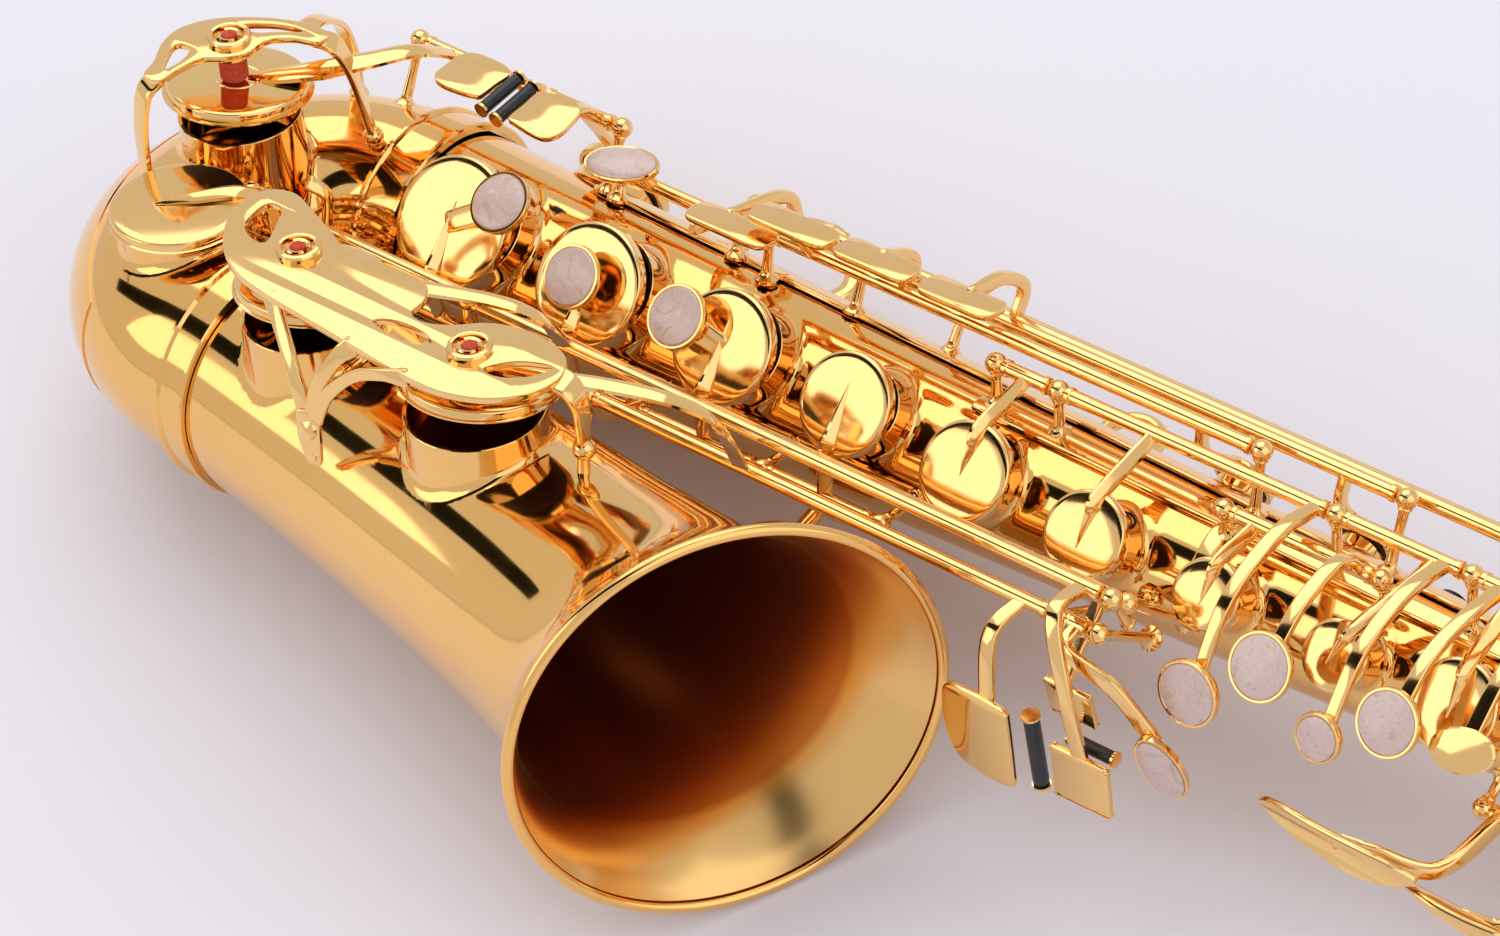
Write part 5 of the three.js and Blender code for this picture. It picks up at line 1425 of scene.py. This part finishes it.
mouth = mesh_object("mouthpiece_body", lathe(
    [(0.05, 0), (13.9, 0), (14.2, 0.5), (14.2, 7.0), (13.6, 7.8), (13.35, 9), (13.25, 58), (12.9, 60),
     (10.2, 74), (7.2, 86),
     (6.4, 88.6), (5.6, 89), (0.05, 89)], on_neck(-23), NECK_DIR, 64))
slab_n = unit(ACROSS)
boolean(mouth, block(on_neck(42, -19.6), slab_n, NECK_DIR, 40, 16, 20), "DIFFERENCE")
boolean(mouth, block(on_neck(62, 15.5), ACROSS + NECK_DIR * 0.42, NECK_DIR, 26, 16, 14), "DIFFERENCE")
boolean(mouth, rod(on_neck(-24), on_neck(22), 11.9, 11.8, 48), "DIFFERENCE")
boolean(mouth, rod(on_neck(21), on_neck(46), 7, 5, 40), "DIFFERENCE")
boolean(mouth, block(on_neck(50, -6), slab_n, NECK_DIR, 14, 4.6, 8.4), "DIFFERENCE")
bm = bmesh.new()
bm.from_mesh(mouth.data)
finish_mesh(bm, mouth.data, 30)
place(mouth, "mouthpiece", MATERIAL["ebonite"], "ebonite", ["mouthpiece"])


def reed_shape():
    """A reed: flat underneath, a rounded back, and a scraped slope that thins to the tip."""
    rings = []
    for k in np.linspace(0, 1, 26):
        s = lerp(16, 65, k)
        half = 6.3
        thick = lerp(1.9, 0.35, max(0.0, (k - 0.42) / 0.58) ** 0.8)
        ring = []
        for q in np.linspace(-1, 1, 13):
            ring.append(on_neck(s, -10.15 - thick * (1 - 0.45 * abs(q) ** 3), half * q))
        for q in np.linspace(1, -1, 7):
            ring.append(on_neck(s, -10.15, half * q))
        rings.append(np.array(ring))
    return skin(rings)


piece("reed_blade", "mouthpiece", reed_shape(), "cane", ["reed"])


def ligature_parts():
    band = [(14.9, 0), (16.1, 0), (16.4, 0.4), (16.4, 2.0), (16.05, 2.5), (16.05, 15.5), (16.4, 16.0),
            (16.4, 17.6), (16.1, 18),
            (14.9, 18)]
    x, y, z = basis(NECK_DIR, (0, 0, 1))
    t = np.linspace(0, 2 * pi, 72, endpoint=False)
    ring = skin([on_neck(14) + np.outer(np.cos(t) * r, x) + np.outer(np.sin(t) * r, y) + z * k for r,
                 k in band],
                caps=False, close=True)
    out = [ring]
    for s in (18, 28):
        out += [rod(on_neck(s, -17.6, -8), on_neck(s, -17.6, 12), 1.8, 1.8, 16),
                rod(on_neck(s, -17.0, -6.5), on_neck(s, -17.0, -1.5), 3.0, 3.0, 20),
                rod(on_neck(s, -17.0, 3.0), on_neck(s, -17.0, 8.0), 3.0, 3.0, 20),
                lathe([(0.05, 0), (3.4, 0), (4.0, 0.7), (4.0, 3.2), (3.4, 4.0), (0.05, 4.0)],
                      on_neck(s, -17.6, 11), (0, 0, 1), 10)]
    return out


piece("ligature_band", "mouthpiece", ligature_parts(), "keywork", ["ligature"])

arms = []
for side in (-1, 1):
    arms.append(sweep([(524.5, 0.5, 19.4 * side), (548, -4, 17.6 * side), (566, 4, 16 * side),
                       (580, 16, 10 * side), (591, 26, 0)],
                      [(1.9, 1.5)] * 5, "strap", up=(0, -0.4, side)))
piece("neck_octave_loop", "neck_octave_key", [
    torus((524.5, 0, 0), (1, 0, 0), 19.4, 1.6, 64, 12), arms,
    sweep([(590, 25, 0), (594, 27, 0), (600.8, 47, 0)], [(2.0, 1.6), (2.0, 1.6), (1.8, 1.4)], up=(1, 0, 0)),
    lathe([(0.05, 0), (4.6, 0), (5.0, 0.5), (5.0, 2.8), (4.4, 3.4), (0.05, 3.8)], (599.0, 51.8, 0),
          (3.7, -0.9, 0), 32),
], "keywork", ["neck_octave_key"])
piece("neck_screw_thumb", "neck_screw", [
    rod((498, 20, -9), (498, 20, 15), 1.9, 1.9, 20),
    lathe([(0.05, 0), (3.2, 0), (3.4, 0.8), (2.6, 2.0), (1.9, 3.0), (0.05, 3.0)], (498, 20, 12.6), (0, 0, 1),
          28),
    oval((498, 20, 20.5), (0, 1, 0), (1, 0, 0), 7, 5.5,
         [(2.5, -0.9), (0.5, -1.1), (0, -0.6), (0, 0.6), (0.5, 1.1), (2.5, 0.9)]),
], "keywork", ["neck_screw"])

# ---------------------------------------------------------------- stage, light, camera
def stage_plane(name, size, z, tone, rough):
    me = bpy.data.meshes.new(name)
    n = 24
    verts = [((i / n - 0.5) * size, (k / n - 0.5) * size, z) for i in range(n + 1) for k in range(n + 1)]
    faces = [(i * (n + 1) + k, (i + 1) * (n + 1) + k, (i + 1) * (n + 1) + k + 1, i * (n + 1) + k + 1)
             for i in range(n) for k in range(n)]
    me.from_pydata(verts, [], faces)
    obj = bpy.data.objects.new(name, me)
    bpy.context.scene.collection.objects.link(obj)
    m, nodes, links, b = new_material(name)
    co = coords_of(nodes)
    t = noise(nodes, links, 2.2, 3.0, 0.5, 0.0, co)
    low = tuple(c * 0.97 for c in tone)
    links.new(ramp(nodes, links, t.outputs["Fac"], [(0.3, low), (0.7, tone)]).outputs["Color"],
              b.inputs["Base Color"])
    b.inputs["Roughness"].default_value = rough
    b.inputs["Specular IOR Level"].default_value = 0.15
    me.materials.append(m)
    return obj


def area_light(name, where, target, size, power, colour):
    data = bpy.data.lights.new(name, "AREA")
    data.energy = power
    data.color = colour
    data.shape = "SQUARE"
    data.size = size
    obj = bpy.data.objects.new(name, data)
    obj.location = where
    obj.rotation_euler = (Vector(target) - Vector(where)).to_track_quat("-Z", "Y").to_euler()
    bpy.context.scene.collection.objects.link(obj)
    return obj


def dark_card(name, centre, towards, along, half_long, half_wide):
    """A black card beside the light tent: it draws the dark band along the polished tubes."""
    x, y, z = basis(towards, along)
    c = arr(centre)
    me = bpy.data.meshes.new(name)
    pts = [c + x * sx * half_long + y * sy * half_wide + z * d for d in (0, -0.01) for sx,
           sy in ((-1, -1), (1, -1), (1, 1), (-1, 1))]
    me.from_pydata([tuple(p) for p in pts], [],
                   [(0, 1, 2, 3), (7, 6, 5, 4), (0, 4, 5, 1), (1, 5, 6, 2), (2, 6, 7, 3), (3, 7, 4, 0)])
    obj = bpy.data.objects.new(name, me)
    bpy.context.scene.collection.objects.link(obj)
    m, nodes, links, b = new_material(name)
    co = coords_of(nodes)
    t = noise(nodes, links, 3.0, 3.0, 0.5, 0.0, co)
    links.new(ramp(nodes, links, t.outputs["Fac"],
                   [(0.3, (0.010, 0.010, 0.006)), (0.7, (0.022, 0.020, 0.010))]).outputs["Color"],
              b.inputs["Base Color"])
    b.inputs["Roughness"].default_value = 1.0
    b.inputs["Specular IOR Level"].default_value = 0.0
    me.materials.append(m)
    obj.visible_camera = False
    obj.visible_diffuse = False
    obj.visible_shadow = False
    return obj


stage_plane("pale_table", 9.0, -0.0004, (0.82, 0.80, 0.86), 0.7)
world = bpy.data.worlds.new("studio")
bpy.context.scene.world = world
world.use_nodes = True
background = world.node_tree.nodes["Background"]
background.inputs["Color"].default_value = (0.96, 0.96, 1.0, 1.0)
background.inputs["Strength"].default_value = 0.72
tilt = Matrix.Rotation(radians(ROLL), 3, "X") @ Matrix.Rotation(radians(PITCH), 3, "Y")


def row_point(p):
    """A point of the layout frame, in mm, as metres in the row frame."""
    return ROW @ Vector(p)


def row_dir(d):
    return tilt @ Vector(d)


CARD_AT = (-1350, -980, 1300)
CARD_FACES = (0, 0.6, -0.8)
CARD_HALF_LONG, CARD_HALF_WIDE = 2.4, 0.23  # metres
dark_card("dark_card", row_point(CARD_AT), row_dir(CARD_FACES), row_dir((1, 0, 0)), CARD_HALF_LONG,
          CARD_HALF_WIDE)
# name, place, what it points at, size in metres, watts, colour
LIGHTS = [
    ("overhead", (-1000, -1560, 830), (150, -40, 20), 1.3, 5.5, (1, 0.98, 0.95)),
    ("key", (-500, 400, 2000), (150, -40, 20), 2.2, 17, (1, 0.99, 0.97)),
    ("fill", (1700, -300, 900), (200, -60, 20), 2.0, 7, (0.97, 0.98, 1)),
]
for name, where, target, size, power, colour in LIGHTS:
    area_light(name, row_point(where), row_point(target), size, power, colour)

CAMERA_AT = (0.77159, -0.77337, 1.33339)
CAMERA_RIGHT = Vector((0.76027, 0.62385, -0.18113))
CAMERA_UP = Vector((-0.39238, 0.66322, 0.63733))
CAMERA_FORWARD = Vector((-0.51772, 0.41347, -0.749))
camera_data = bpy.data.cameras.new("camera")
camera_data.sensor_width = 36.0
camera_data.lens = 153.9455
camera_data.clip_end = 50
camera = bpy.data.objects.new("camera", camera_data)
bpy.context.scene.collection.objects.link(camera)
turn = Matrix((CAMERA_RIGHT, CAMERA_UP, -CAMERA_FORWARD)).transposed().to_4x4()
camera.matrix_world = Matrix.Translation(CAMERA_AT) @ turn
bpy.context.scene.camera = camera
bpy.context.scene.view_settings.view_transform = "Standard"
